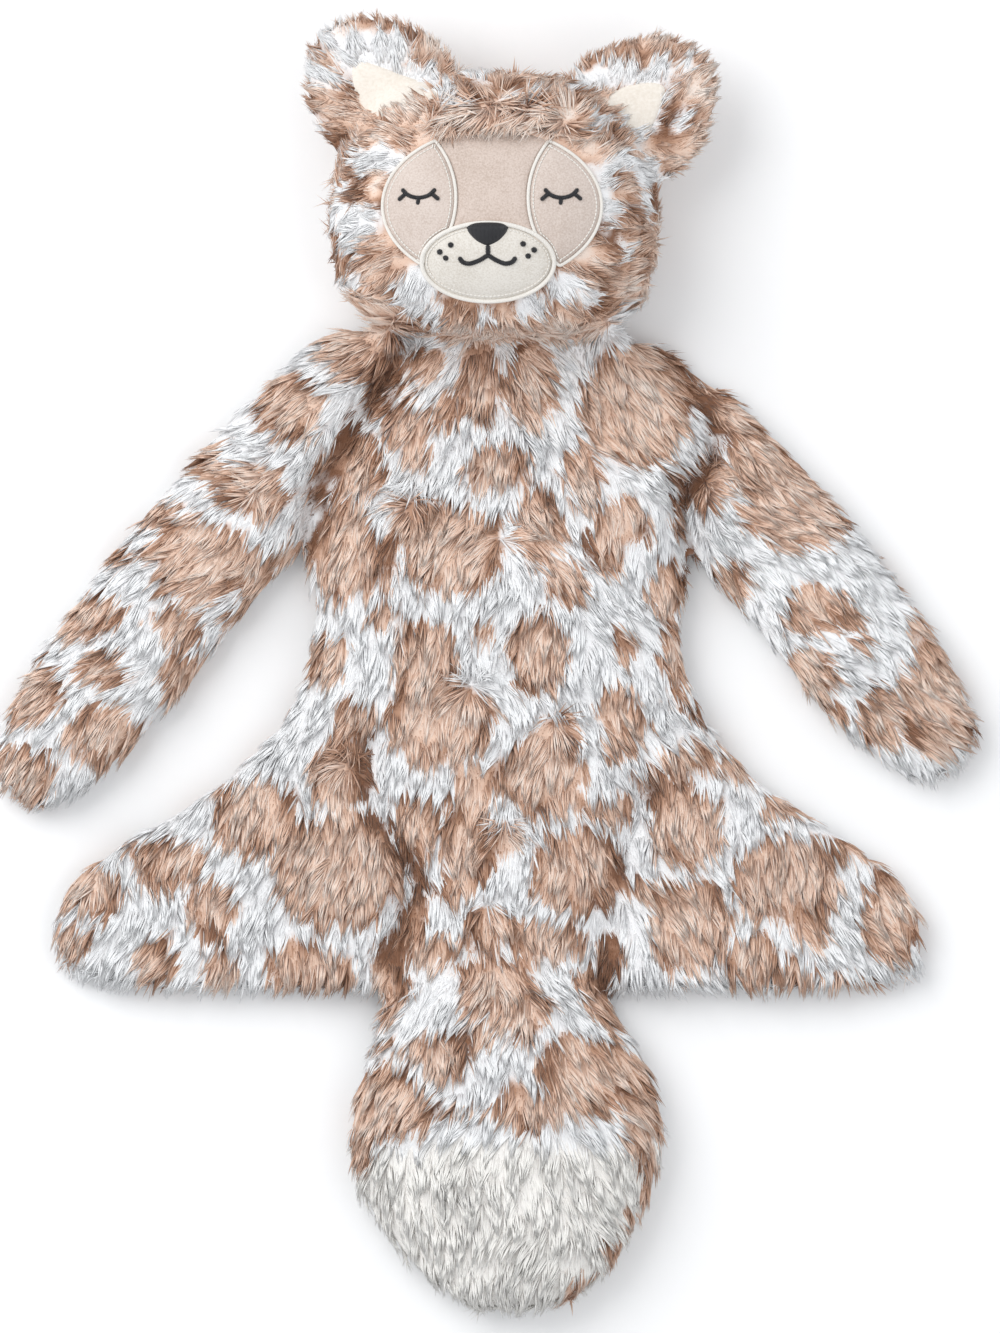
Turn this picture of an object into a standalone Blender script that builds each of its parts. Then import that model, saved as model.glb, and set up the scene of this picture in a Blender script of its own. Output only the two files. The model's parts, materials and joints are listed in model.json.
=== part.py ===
"""Comfort blanket lovey: a flat plush cub that lies on its back, face up.

The toy is sewn from a front and a back panel of long pile fabric for the torso, each arm, the tail,
the head and the ears, with filling inside, and a short pile face set into the head. Metres, +Z up,
+Y towards the head, +X to the right as seen from above; the origin is under the middle of the toy.
Each soft form is a coarse cage with Subdivision Surface, pressed flat where it lies on the surface.
"""

import math

import bmesh
import bpy
from mathutils import Matrix, Vector
from mathutils.bvhtree import BVHTree

MM = 0.001
UP = Vector((0.0, 0.0, 1.0))

# Fabric, seams and trim
PANEL_WALL = 1.8 * MM
SEAM_GAP = 0.3 * MM
STITCH_GAP = 0.45 * MM
FILLING_GAP = 0.6 * MM
FLAT_CUT = 0.5 * MM
PIPING_RADIUS = 0.9 * MM
STITCH_RADIUS = 0.7 * MM
CUTTER_REACH = 600.0 * MM

# Torso, the blanket of the toy: from the hem up to the neck, which goes under the head
TORSO_HALF_WIDTH = 165.0 * MM
TORSO_LENGTH = 262.0 * MM
TORSO_THICKNESS = 26.0 * MM
TORSO_SEAM_HEIGHT = 9.0 * MM
HEM_Y = -124.0 * MM

# Arms: a reach goes from the level of the armpit to the tip of the hand
ARM_HALF_WIDTH = 25.5 * MM
LEFT_ARM_REACH = 146.0 * MM
RIGHT_ARM_REACH = 133.0 * MM
ARM_THICKNESS = 21.0 * MM
ARM_SEAM_HEIGHT = 8.0 * MM
ARM_ANGLE = math.radians(35.5)
SHOULDER_HINGE_HEIGHT = 21.5 * MM

# Tail, hung on the hem
TAIL_HALF_WIDTH = 57.5 * MM
TAIL_REACH = 125.0 * MM
TAIL_THICKNESS = 34.0 * MM
TAIL_SEAM_HEIGHT = 9.0 * MM
TAIL_X = 1.2 * MM
TAIL_ANGLE = math.radians(6.5)
TAIL_TIP_LENGTH = 74.0 * MM
TAIL_HINGE_HEIGHT = 16.5 * MM
TAIL_ROOT_LAP = 6.0 * MM

# Head
HEAD_HALF_WIDTH = 60.5 * MM
HEAD_LENGTH = 98.0 * MM
HEAD_THICKNESS = 74.0 * MM
HEAD_SEAM_HEIGHT = 31.0 * MM
HEAD_X = 3.5 * MM
NECK_OVERLAP = 13.0 * MM
NECK_HINGE_HEIGHT = 20.5 * MM

# Ears, sewn into the seam of the head
EAR_HALF_WIDTH = 27.0 * MM
LEFT_EAR_HEIGHT = 31.0 * MM
RIGHT_EAR_HEIGHT = 34.0 * MM
EAR_THICKNESS = 11.0 * MM
EAR_BASE_RADIUS = 4.5 * MM
EAR_CLEARANCE = 0.55 * MM
LEFT_EAR_ANGLE = math.radians(36.5)
RIGHT_EAR_ANGLE = math.radians(-43.0)
EAR_SWEEP_ANGLES = [math.radians(angle) for angle in (-20.0, -4.0, 12.0, 28.0, 44.0, 60.0)]
EAR_LINING_FOOT = 2.5 * MM
EAR_LINING_HALF_WIDTH = 13.0 * MM
EAR_LINING_HEIGHT = 19.0 * MM
EAR_LINING_START = -1.0 * MM
EAR_LINING_CORNER = 4.0 * MM

# Face, set into the front of the head: an oval with the muzzle's oval at its foot
FACE_HALF_WIDTH = 41.5 * MM
FACE_HALF_HEIGHT = 29.0 * MM
FACE_ABOVE_CHIN = 49.5 * MM
EYE_PANEL_RADIUS = 34.5 * MM
EYE_PANEL_OFFSET = 48.5 * MM
EYE_PANEL_RISE = 2.0 * MM
MUZZLE_HALF_WIDTH = 25.0 * MM
MUZZLE_HALF_HEIGHT = 14.8 * MM
MUZZLE_DROP = 21.5 * MM
MUZZLE_RISE = 1.2 * MM
NOSE_HALF_WIDTH = 7.8 * MM
NOSE_HEIGHT = 9.0 * MM
NOSE_CORNER = 2.2 * MM
NOSE_THICKNESS = 1.1 * MM
NOSE_RISE = 13.6 * MM
EYE_OFFSET = 27.3 * MM
EYE_RISE = 5.8 * MM
EYE_HALF_WIDTH = 6.1 * MM
EYE_SAG = 2.7 * MM
MOUTH_HALF_WIDTH = 11.0 * MM
MOUTH_RISE = 2.7 * MM
MOUTH_SAG = 3.0 * MM

# Section of a soft form, from the side edge over its shoulder to the crown; a round one, such as the
# head's, has a further point between the two
EDGE_INSET_OF_HEIGHT_SHARE = 0.38
EDGE_INSET_OF_WIDTH_SHARE = 0.30
EDGE_RISE_SHARE = 0.72
ROUND_ACROSS_SHARE = 0.50
ROUND_RISE_SHARE = 0.90

# Outline tables. A row is one section: its place along the form, its half widths to the left and to
# the right, its height over the seam and its depth under it, each a share of the form's own size.
TORSO_SHARES = (
    (0.000, 0.62, 0.65, 0.16, 0.36),
    (0.000, 0.94, 0.98, 0.28, 0.64),
    (0.055, 1.00, 1.02, 0.44, 0.96),
    (0.155, 1.00, 0.99, 0.50, 1.00),
    (0.245, 0.70, 0.71, 0.62, 1.00),
    (0.360, 0.45, 0.49, 0.84, 1.00),
    (0.560, 0.355, 0.41, 1.00, 1.00),
    (0.720, 0.47, 0.54, 0.92, 1.00),
    (0.850, 0.43, 0.50, 0.78, 1.00),
    (0.940, 0.34, 0.40, 0.62, 1.00),
    (1.000, 0.28, 0.34, 0.50, 0.90),
)
ARM_SHARES = (
    (-0.52, 0.90, 0.44, 0.72, 0.95),
    (-0.30, 0.98, 0.72, 0.92, 1.00),
    (0.00, 1.02, 1.00, 1.00, 1.00),
    (0.22, 0.80, 1.12, 1.00, 1.00),
    (0.58, 0.76, 1.22, 0.98, 1.00),
    (0.86, 0.52, 1.10, 0.84, 0.98),
    (1.00, 0.16, 0.78, 0.50, 0.80),
)
TAIL_SHARES = (
    (-0.07, 0.60, 0.60, 0.22, 0.75),
    (0.06, 0.63, 0.63, 0.40, 0.96),
    (0.28, 0.90, 0.90, 0.88, 1.00),
    (0.54, 1.02, 1.02, 1.00, 1.00),
    (0.83, 0.66, 0.66, 0.80, 0.98),
    (1.00, 0.30, 0.30, 0.46, 0.80),
)
HEAD_SHARES = (
    (0.00, 0.62, 0.62, 0.46, 0.50),
    (0.12, 0.90, 0.90, 0.78, 0.84),
    (0.34, 1.00, 1.00, 1.00, 1.00),
    (0.60, 1.02, 1.02, 1.00, 1.00),
    (0.84, 0.84, 0.84, 0.80, 0.86),
    (1.00, 0.48, 0.48, 0.42, 0.46),
)
EAR_SHARES = (
    (-0.42, 1.00, 1.00, 0.72, 0.72),
    (-0.02, 1.04, 1.04, 0.86, 0.86),
    (0.36, 0.90, 0.90, 1.00, 1.00),
    (0.74, 0.64, 0.64, 0.88, 0.88),
    (1.00, 0.28, 0.28, 0.50, 0.50),
)

# Shoulder seams on the torso (left, right), as shares of its half width and of its length
ARMPIT_ACROSS_SHARES = (-0.405, 0.470)
ARMPIT_ALONG_SHARE = 0.645
NECK_END_ACROSS_SHARES = (-0.250, 0.310)
NECK_END_ALONG_SHARE = 0.955
ARM_MIDDLE_ACROSS_SHARES = (-0.535, 0.572)
ARM_MIDDLE_ALONG_SHARE = 0.715
SEAM_OVERRUN_SHARE = 0.15

# How finely the trim is laid out
OVAL_SIDES = 32
EYE_EDGE_STEPS = 48
LID_STEPS = 6
LIP_STEPS = 12
LIP_TURN_SHARE = 1.15
CORNER_STEPS = 4

TAN_FUR = (0.70, 0.53, 0.41, 1.0)
WHITE_FUR = (0.85, 0.86, 0.88, 1.0)
CREAM_FUR = (0.88, 0.85, 0.78, 1.0)
CREAM_CLOTH = (0.85, 0.80, 0.70, 1.0)
FACE_CLOTH = (0.76, 0.66, 0.58, 1.0)
EYE_CLOTH = (0.79, 0.70, 0.63, 1.0)
BLACK_THREAD = (0.02, 0.02, 0.022, 1.0)
WADDING = (0.93, 0.93, 0.92, 1.0)
FUR_ROUGHNESS = 0.95
THREAD_ROUGHNESS = 0.55


def clear_scene():
    """Remove the objects that the scene starts with."""
    for obj in list(bpy.data.objects):
        bpy.data.objects.remove(obj, do_unlink=True)


def make_collection(name):
    """Make a collection under the scene's own."""
    collection = bpy.data.collections.new(name)
    bpy.context.scene.collection.children.link(collection)
    return collection


def make_material(name, colour, roughness):
    """Make a Principled material of one colour."""
    material = bpy.data.materials.new(name)
    material.use_nodes = True
    shader = material.node_tree.nodes["Principled BSDF"]
    shader.inputs["Base Color"].default_value = colour
    shader.inputs["Roughness"].default_value = roughness
    shader.inputs["Metallic"].default_value = 0.0
    material.diffuse_color = colour
    return material


def hang_on(obj, parent):
    """Parent an object and keep it where it is."""
    if parent is not None:
        obj.parent = parent
        obj.matrix_parent_inverse = parent.matrix_world.inverted()


def mesh_from(name, cage):
    """Turn a bmesh into a mesh and free it."""
    mesh = bpy.data.meshes.new(name)
    cage.to_mesh(mesh)
    cage.free()
    return mesh


class Toy:
    """The collections of the toy, and the ways to add pieces, cutters and joints to them."""

    def __init__(self):
        self.parts = make_collection("comfort_blanket_lovey")
        self.cutters = make_collection("cutters")

    def piece(self, name, mesh, colour, parent=None, roughness=FUR_ROUGHNESS):
        """Add a sub-part with its own material, carried by the empty of its joint."""
        obj = bpy.data.objects.new(name, mesh)
        mesh.materials.append(make_material(name + "_finish", colour, roughness))
        self.parts.objects.link(obj)
        hang_on(obj, parent)
        return obj

    def cutter(self, name, mesh):
        """Add a hidden cutter, its mesh already in world places."""
        obj = bpy.data.objects.new(name, mesh)
        obj.hide_render = True
        obj.display_type = "WIRE"
        self.cutters.objects.link(obj)
        return obj

    def joint(self, name, place, outwards, parent=None):
        """Add an empty on a joint's axis: a positive turn lifts the piece that lies outwards."""
        empty = bpy.data.objects.new(name, None)
        empty.empty_display_type = "SINGLE_ARROW"
        empty.empty_display_size = EAR_HALF_WIDTH
        self.parts.objects.link(empty)
        axis = outwards.cross(UP).normalized()
        frame = Matrix((axis, UP.cross(axis), UP)).transposed()
        empty.matrix_world = Matrix.Translation(place) @ frame.to_4x4()
        bpy.context.view_layer.update()
        hang_on(empty, parent)
        return empty


def extents(vertices):
    """Return the lowest and the highest corner of some vertices."""
    low = [min(vertex.co[axis] for vertex in vertices) for axis in range(3)]
    high = [max(vertex.co[axis] for vertex in vertices) for axis in range(3)]
    return low, high


def stretch_to(mesh, wanted):
    """Stretch a mesh until its extents are the wanted ones."""
    low, high = extents(mesh.vertices)
    for vertex in mesh.vertices:
        for axis in range(3):
            share = (vertex.co[axis] - low[axis]) / (high[axis] - low[axis])
            vertex.co[axis] = wanted[0][axis] + share * (wanted[1][axis] - wanted[0][axis])


def smoothed(mesh, levels):
    """Return a mesh smoothed by Subdivision Surface."""
    holder = bpy.data.objects.new(mesh.name + "_cage", mesh)
    bpy.context.scene.collection.objects.link(holder)
    modifier = holder.modifiers.new("smooth", "SUBSURF")
    modifier.levels = levels
    modifier.render_levels = levels
    bpy.context.view_layer.update()
    graph = bpy.context.evaluated_depsgraph_get()
    smooth = bpy.data.meshes.new_from_object(holder.evaluated_get(graph))
    bpy.data.objects.remove(holder, do_unlink=True)
    return smooth


def quarter_section(half_width, height, round_crown):
    """Return a quarter of a section, from the side edge to the crown."""
    inset = min(height * EDGE_INSET_OF_HEIGHT_SHARE, half_width * EDGE_INSET_OF_WIDTH_SHARE)
    points = [(half_width, 0.0), (half_width - inset, height * EDGE_RISE_SHARE)]
    if round_crown:
        points.append((half_width * ROUND_ACROSS_SHARE, height * ROUND_RISE_SHARE))
    points.append((0.0, height))
    return points


def section_ring(left, right, top, bottom, round_crown):
    """Return a closed section, from the right edge over the crown and back underneath."""
    upper_right = quarter_section(right, top, round_crown)
    upper_left = quarter_section(left, top, round_crown)
    lower_left = quarter_section(left, bottom, round_crown)
    lower_right = quarter_section(right, bottom, round_crown)
    ring = list(upper_right)
    ring += [(-across, up) for across, up in reversed(upper_left[:-1])]
    ring += [(-across, -down) for across, down in lower_left[1:]]
    ring += [(across, -down) for across, down in reversed(lower_right[1:-1])]
    return ring


class SoftForm:
    """A swelling closed form along local +Y, its seam in the plane z = 0 before it is placed."""

    def __init__(self, name, rows, half_width, length, top, bottom, seam_height, round_crown=False):
        self.name = name
        self.seam_height = seam_height
        cage = bmesh.new()
        rings = []
        for along, left, right, height, depth in rows:
            widths = (half_width * left, half_width * right)
            ring = section_ring(*widths, top * height, bottom * depth, round_crown)
            rings.append([cage.verts.new((across, length * along, up)) for across, up in ring])
        for ring, following in zip(rings, rings[1:]):
            for index, vertex in enumerate(ring):
                after = (index + 1) % len(ring)
                cage.faces.new((vertex, ring[after], following[after], following[index]))
        cage.faces.new(rings[0])
        cage.faces.new(rings[-1])
        bmesh.ops.recalc_face_normals(cage, faces=cage.faces)
        wanted = extents(cage.verts)
        self.mesh = smoothed(mesh_from(name, cage), 1)
        stretch_to(self.mesh, wanted)

    def place(self, x, y, turn=0.0, mirrored=False):
        """Move the form to its place and press it flat where it lies on the surface."""
        if mirrored:
            self.mesh.transform(Matrix.Diagonal((-1.0, 1.0, 1.0, 1.0)))
            self.mesh.flip_normals()
        here = Matrix.Translation((x, y, self.seam_height))
        self.mesh.transform(here @ Matrix.Rotation(turn, 4, "Z"))
        for vertex in self.mesh.vertices:
            vertex.co.z = max(vertex.co.z, 0.0)
        return self

    def grown(self, outset):
        """Return a copy of the form's mesh, moved out by a distance (inwards if negative)."""
        cage = bmesh.new()
        cage.from_mesh(self.mesh)
        cage.normal_update()
        moves = [vertex.normal * vertex.calc_shell_factor() * outset for vertex in cage.verts]
        for vertex, move in zip(cage.verts, moves):
            vertex.co += move
        return mesh_from(self.name + "_grown", cage)

    def tree(self, outset=0.0):
        """Return a search tree of the form's surface, moved out by a distance."""
        mesh = self.grown(outset)
        corners = [vertex.co.copy() for vertex in mesh.vertices]
        return BVHTree.FromPolygons(corners, [tuple(face.vertices) for face in mesh.polygons])


def boolean(obj, cutter, operation="DIFFERENCE", solver="EXACT"):
    """Cut an object by a cutter, or keep what lies inside the cutter."""
    modifier = obj.modifiers.new(cutter.name, "BOOLEAN")
    modifier.operation = operation
    modifier.solver = solver
    modifier.object = cutter


def cut_by_all(obj, collection):
    """Cut an object by every cutter of a collection, which may cross one another."""
    modifier = obj.modifiers.new(collection.name, "BOOLEAN")
    modifier.operation = "DIFFERENCE"
    modifier.solver = "MANIFOLD"
    modifier.operand_type = "COLLECTION"
    modifier.collection = collection


def solidify(obj, wall):
    """Give a surface its cloth wall, inwards."""
    modifier = obj.modifiers.new("wall", "SOLIDIFY")
    modifier.thickness = wall
    modifier.offset = -1.0
    modifier.use_even_offset = True


def box_mesh(name, middle, size, turn=0.0):
    """Return a box, turned about Z round its middle."""
    cage = bmesh.new()
    bmesh.ops.create_cube(cage, size=1.0)
    place = Matrix.Translation(middle) @ Matrix.Rotation(turn, 4, "Z") @ Matrix.Diagonal((*size, 1.0))
    bmesh.ops.transform(cage, matrix=place, verts=cage.verts)
    return mesh_from(name, cage)


def prism_place(middle, half_width, half_height, turn, foot=HEAD_SEAM_HEIGHT):
    """Return the place of an upright unit prism that goes through the front of the head."""
    rise = HEAD_THICKNESS - HEAD_SEAM_HEIGHT
    centre = Vector((middle.x, middle.y, foot + rise))
    size = Matrix.Diagonal((half_width, half_height, rise * 2.0, 1.0))
    return Matrix.Translation(centre) @ Matrix.Rotation(turn, 4, "Z") @ size


def oval_cutter(toy, name, middle, half_sizes, outset=0.0):
    """Add an upright oval prism that reaches up from the seam of the head."""
    cage = bmesh.new()
    bmesh.ops.create_cone(cage, cap_ends=True, segments=OVAL_SIDES, radius1=1.0, radius2=1.0, depth=1.0)
    place = prism_place(middle, half_sizes[0] + outset, half_sizes[1] + outset, 0.0)
    bmesh.ops.transform(cage, matrix=place, verts=cage.verts)
    return toy.cutter(name, mesh_from(name, cage))


def triangle_mesh(name, middle, half_width, height, corner, turn, foot=HEAD_SEAM_HEIGHT):
    """Return an upright prism on a rounded triangle, its tip at local +Y, its base on its middle."""
    cage = bmesh.new()
    bmesh.ops.create_cone(cage, cap_ends=True, segments=3, radius1=1.0, radius2=1.0, depth=1.0)
    tip = max(cage.verts, key=lambda vertex: vertex.co.length)
    upright = Matrix.Rotation(math.atan2(tip.co.x, tip.co.y), 3, "Z")
    bmesh.ops.rotate(cage, verts=cage.verts, matrix=upright)
    low, high = extents(cage.verts)
    lift = Matrix.Translation((0.0, -low[1], 0.0))
    unit = Matrix.Diagonal((1.0 / high[0], 1.0 / (high[1] - low[1]), 1.0, 1.0))
    place = prism_place(middle, half_width, height, turn, foot)
    bmesh.ops.transform(cage, matrix=place @ unit @ lift, verts=cage.verts)
    uprights = [edge for edge in cage.edges if abs(edge.verts[0].co.z - edge.verts[1].co.z) > corner]
    bmesh.ops.bevel(cage, geom=uprights, offset=corner, segments=CORNER_STEPS, profile=0.5, affect="EDGES")
    return mesh_from(name, cage)


def sewn_panels(toy, form, colour, parent, wall=None):
    """Make the front and the back panel of a soft form, halved at its seam."""
    half_reach = CUTTER_REACH * 0.5
    size = (CUTTER_REACH, CUTTER_REACH, CUTTER_REACH)
    over = Vector((0.0, 0.0, form.seam_height + SEAM_GAP * 0.5 + half_reach))
    under = Vector((0.0, 0.0, form.seam_height - SEAM_GAP * 0.5 - half_reach))
    panels = []
    for side, middle in (("_front_panel", over), ("_back_panel", under)):
        half = toy.cutter(form.name + side + "_half", box_mesh("half", middle, size))
        panel = toy.piece(form.name + side, form.mesh.copy(), colour, parent)
        if wall is not None:
            solidify(panel, wall)
        boolean(panel, half, "INTERSECT")
        panels.append(panel)
    return panels


def filled_body(toy, form, colour, filling_name, parent):
    """Make the front panel, the back panel and the filling of one stuffed form."""
    pieces = sewn_panels(toy, form, colour, parent, PANEL_WALL)
    filling = form.grown(-(PANEL_WALL + FILLING_GAP))
    pieces.append(toy.piece(form.name + filling_name, filling, WADDING, parent))
    return pieces


def torso_point(across_share, along_share):
    """Return a point of the torso's plan."""
    return Vector((TORSO_HALF_WIDTH * across_share, HEM_Y + TORSO_LENGTH * along_share, 0.0))


def lying_form(name, rows, half_width, length, thickness, seam_height, round_crown=False):
    """Return a form that lies on the surface, its underside to be pressed flat there."""
    top = thickness - seam_height
    bottom = seam_height + FLAT_CUT
    return SoftForm(name, rows, half_width, length, top, bottom, seam_height, round_crown)


class Shoulder:
    """The straight seam between the torso and one arm, from the armpit to the neck."""

    def __init__(self, side):
        index = 0 if side < 0.0 else 1
        self.side = side
        self.armpit = torso_point(ARMPIT_ACROSS_SHARES[index], ARMPIT_ALONG_SHARE)
        self.neck_end = torso_point(NECK_END_ACROSS_SHARES[index], NECK_END_ALONG_SHARE)
        self.along = (self.neck_end - self.armpit).normalized()
        self.outwards = Vector((self.along.y, -self.along.x, 0.0)) * side
        self.middle = (self.armpit + self.neck_end) * 0.5
        self.arm_middle = torso_point(ARM_MIDDLE_ACROSS_SHARES[index], ARM_MIDDLE_ALONG_SHARE)
        self.turn = math.atan2(self.along.y, self.along.x)

    def outer_box(self, name):
        """Return the box past the seam, which starts just under the armpit."""
        overrun = (self.neck_end - self.armpit).length * SEAM_OVERRUN_SHARE
        reach = TORSO_HALF_WIDTH
        middle = self.armpit + self.along * (reach - overrun)
        middle += self.outwards * (reach - SEAM_GAP * 0.5)
        return box_mesh(name, middle, (reach * 2.0, reach * 2.0, reach), self.turn)

    def inner_box(self, name):
        """Return the box on the torso's side of the seam."""
        reach = TORSO_HALF_WIDTH
        middle = self.middle - self.outwards * (reach - SEAM_GAP * 0.5)
        return box_mesh(name, middle, (reach * 3.0, reach * 2.0, reach), self.turn)


def build_torso(toy, shoulders, head_form):
    """Make the torso, open at the shoulders and cut to sit under the head."""
    form = lying_form("torso", TORSO_SHARES, TORSO_HALF_WIDTH, TORSO_LENGTH, TORSO_THICKNESS,
                      TORSO_SEAM_HEIGHT)
    form.place(0.0, HEM_Y)
    pieces = filled_body(toy, form, WHITE_FUR, "_batting", None)
    past_seams = []
    for shoulder in shoulders:
        past_seams.append(toy.cutter("past_shoulder", shoulder.outer_box("past_shoulder")))
    neck_seat = toy.cutter("neck_seat", head_form.grown(SEAM_GAP))
    for piece in pieces:
        for past_seam in past_seams:
            boolean(piece, past_seam)
        boolean(piece, neck_seat)
    return form


def build_arm(toy, side_name, shoulder, reach):
    """Make one arm, cut at its shoulder seam, with its empty on the fold line."""
    form = lying_form(side_name + "_arm", ARM_SHARES, ARM_HALF_WIDTH, reach, ARM_THICKNESS, ARM_SEAM_HEIGHT)
    turn = (math.pi - ARM_ANGLE) * -shoulder.side
    form.place(shoulder.arm_middle.x, shoulder.arm_middle.y, turn, mirrored=shoulder.side > 0.0)
    hinge = shoulder.middle + UP * SHOULDER_HINGE_HEIGHT
    empty = toy.joint(side_name + "_shoulder_fold", hinge, shoulder.outwards)
    pieces = filled_body(toy, form, TAN_FUR, "_batting", empty)
    inside = toy.cutter(side_name + "_arm_inside", shoulder.inner_box("inside_seam"))
    for piece in pieces:
        boolean(piece, inside)


def build_tail(toy, torso_form):
    """Make the tail: spotted panels up to a cross seam, a pale tip past it, one filling."""
    form = lying_form("tail", TAIL_SHARES, TAIL_HALF_WIDTH, TAIL_REACH, TAIL_THICKNESS, TAIL_SEAM_HEIGHT)
    form.place(TAIL_X, HEM_Y, math.pi + TAIL_ANGLE)
    hinge = Vector((TAIL_X, HEM_Y + TAIL_ROOT_LAP, TAIL_HINGE_HEIGHT))
    empty = toy.joint("tail_fold", hinge, Vector((0.0, -1.0, 0.0)))
    front, back, filling = filled_body(toy, form, TAN_FUR, "_stuffing", empty)
    cross_seam_y = HEM_Y - TAIL_REACH + TAIL_TIP_LENGTH
    half_reach = CUTTER_REACH * 0.5
    size = (CUTTER_REACH, CUTTER_REACH, CUTTER_REACH)
    towards_hem = Vector((0.0, cross_seam_y + SEAM_GAP * 0.5 + half_reach, 0.0))
    towards_tip = Vector((0.0, cross_seam_y - SEAM_GAP * 0.5 - half_reach, 0.0))
    past_root = Vector((0.0, hinge.y + half_reach, 0.0))
    upper = toy.cutter("tail_root_side", box_mesh("tail_root_side", towards_hem, size))
    lower = toy.cutter("tail_tip_side", box_mesh("tail_tip_side", towards_tip, size))
    past_root = toy.cutter("past_tail_root", box_mesh("past_tail_root", past_root, size))
    hem_seat = toy.cutter("hem_seat", torso_form.grown(SEAM_GAP))
    for panel in (front, back):
        tip = toy.piece(panel.name.replace("tail", "tail_tip"), panel.data.copy(), CREAM_FUR, empty)
        tip.data.materials.pop(index=0)
        solidify(tip, PANEL_WALL)
        half = panel.modifiers[-1].object
        boolean(tip, half, "INTERSECT")
        boolean(tip, lower, "INTERSECT")
        boolean(panel, upper, "INTERSECT")
        boolean(panel, past_root)
        boolean(panel, hem_seat, solver="MANIFOLD")
    boolean(filling, past_root)
    boolean(filling, hem_seat, solver="MANIFOLD")


class Face:
    """The places of the face, from its middle on the front of the head."""

    def __init__(self, head_form):
        chin_y = HEM_Y + TORSO_LENGTH - NECK_OVERLAP
        self.form = head_form
        self.middle = Vector((HEAD_X, chin_y + FACE_ABOVE_CHIN, 0.0))
        self.muzzle = self.middle - Vector((0.0, MUZZLE_DROP, 0.0))

    def eye_panel_middle(self, side):
        """Return the middle of the circle that bounds an eye panel."""
        return self.middle + Vector((EYE_PANEL_OFFSET * side, EYE_PANEL_RISE, 0.0))

    def in_face(self, point):
        """Tell whether a point lies inside the face's oval."""
        offset = point - self.middle
        across = offset.x / FACE_HALF_WIDTH
        up = offset.y / FACE_HALF_HEIGHT
        return across * across + up * up < 1.0

    def in_muzzle(self, point, outset):
        """Tell whether a point lies inside the muzzle's oval, let out by a distance."""
        offset = point - self.muzzle
        across = offset.x / (MUZZLE_HALF_WIDTH + outset)
        up = offset.y / (MUZZLE_HALF_HEIGHT + outset)
        return across * across + up * up < 1.0

    def eye_panel_edge(self, side):
        """Return the open line round an eye panel, from the muzzle over the top and back down."""
        middle = self.eye_panel_middle(side)
        clear = PIPING_RADIUS * 3.0 + STITCH_GAP * 2.0
        inner = []
        outer = []
        for step in range(EYE_EDGE_STEPS):
            turn = math.tau * step / EYE_EDGE_STEPS - math.pi * 0.5
            inner_point = middle + Vector((math.cos(turn) * -side, math.sin(turn), 0.0)) * EYE_PANEL_RADIUS
            if self.in_face(inner_point) and not self.in_muzzle(inner_point, clear):
                inner.append(inner_point)
            wide = Vector((FACE_HALF_WIDTH * math.cos(turn) * side, FACE_HALF_HEIGHT * math.sin(turn), 0.0))
            outer_point = self.middle + wide
            in_circle = (outer_point - middle).length < EYE_PANEL_RADIUS
            if in_circle and not self.in_muzzle(outer_point, clear):
                outer.append(outer_point)
        return inner + outer[::-1]


def on_surface(tree, point, lift):
    """Drop a point on a form's surface from above and lift it off along the surface's normal."""
    start = Vector((point.x, point.y, CUTTER_REACH))
    place, normal, _, _ = tree.ray_cast(start, -UP)
    return place + normal * lift


def tube(toy, name, points, radius, colour, parent, closed=False, roughness=FUR_ROUGHNESS):
    """Lay a round cord through points as a curve with filled ends."""
    curve = bpy.data.curves.new(name, "CURVE")
    curve.dimensions = "3D"
    curve.bevel_depth = radius
    curve.bevel_resolution = 1
    curve.use_fill_caps = True
    spline = curve.splines.new("POLY")
    spline.points.add(len(points) - 1)
    for target, point in zip(spline.points, points):
        target.co = (*point, 1.0)
    spline.use_cyclic_u = closed
    curve.materials.append(make_material(name + "_finish", colour, roughness))
    obj = bpy.data.objects.new(name, curve)
    toy.parts.objects.link(obj)
    hang_on(obj, parent)
    return obj


def stitch(toy, name, points, parent):
    """Lay a stitched line of thick black thread through points."""
    tube(toy, name, points, STITCH_RADIUS, BLACK_THREAD, parent, roughness=THREAD_ROUGHNESS)


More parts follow.
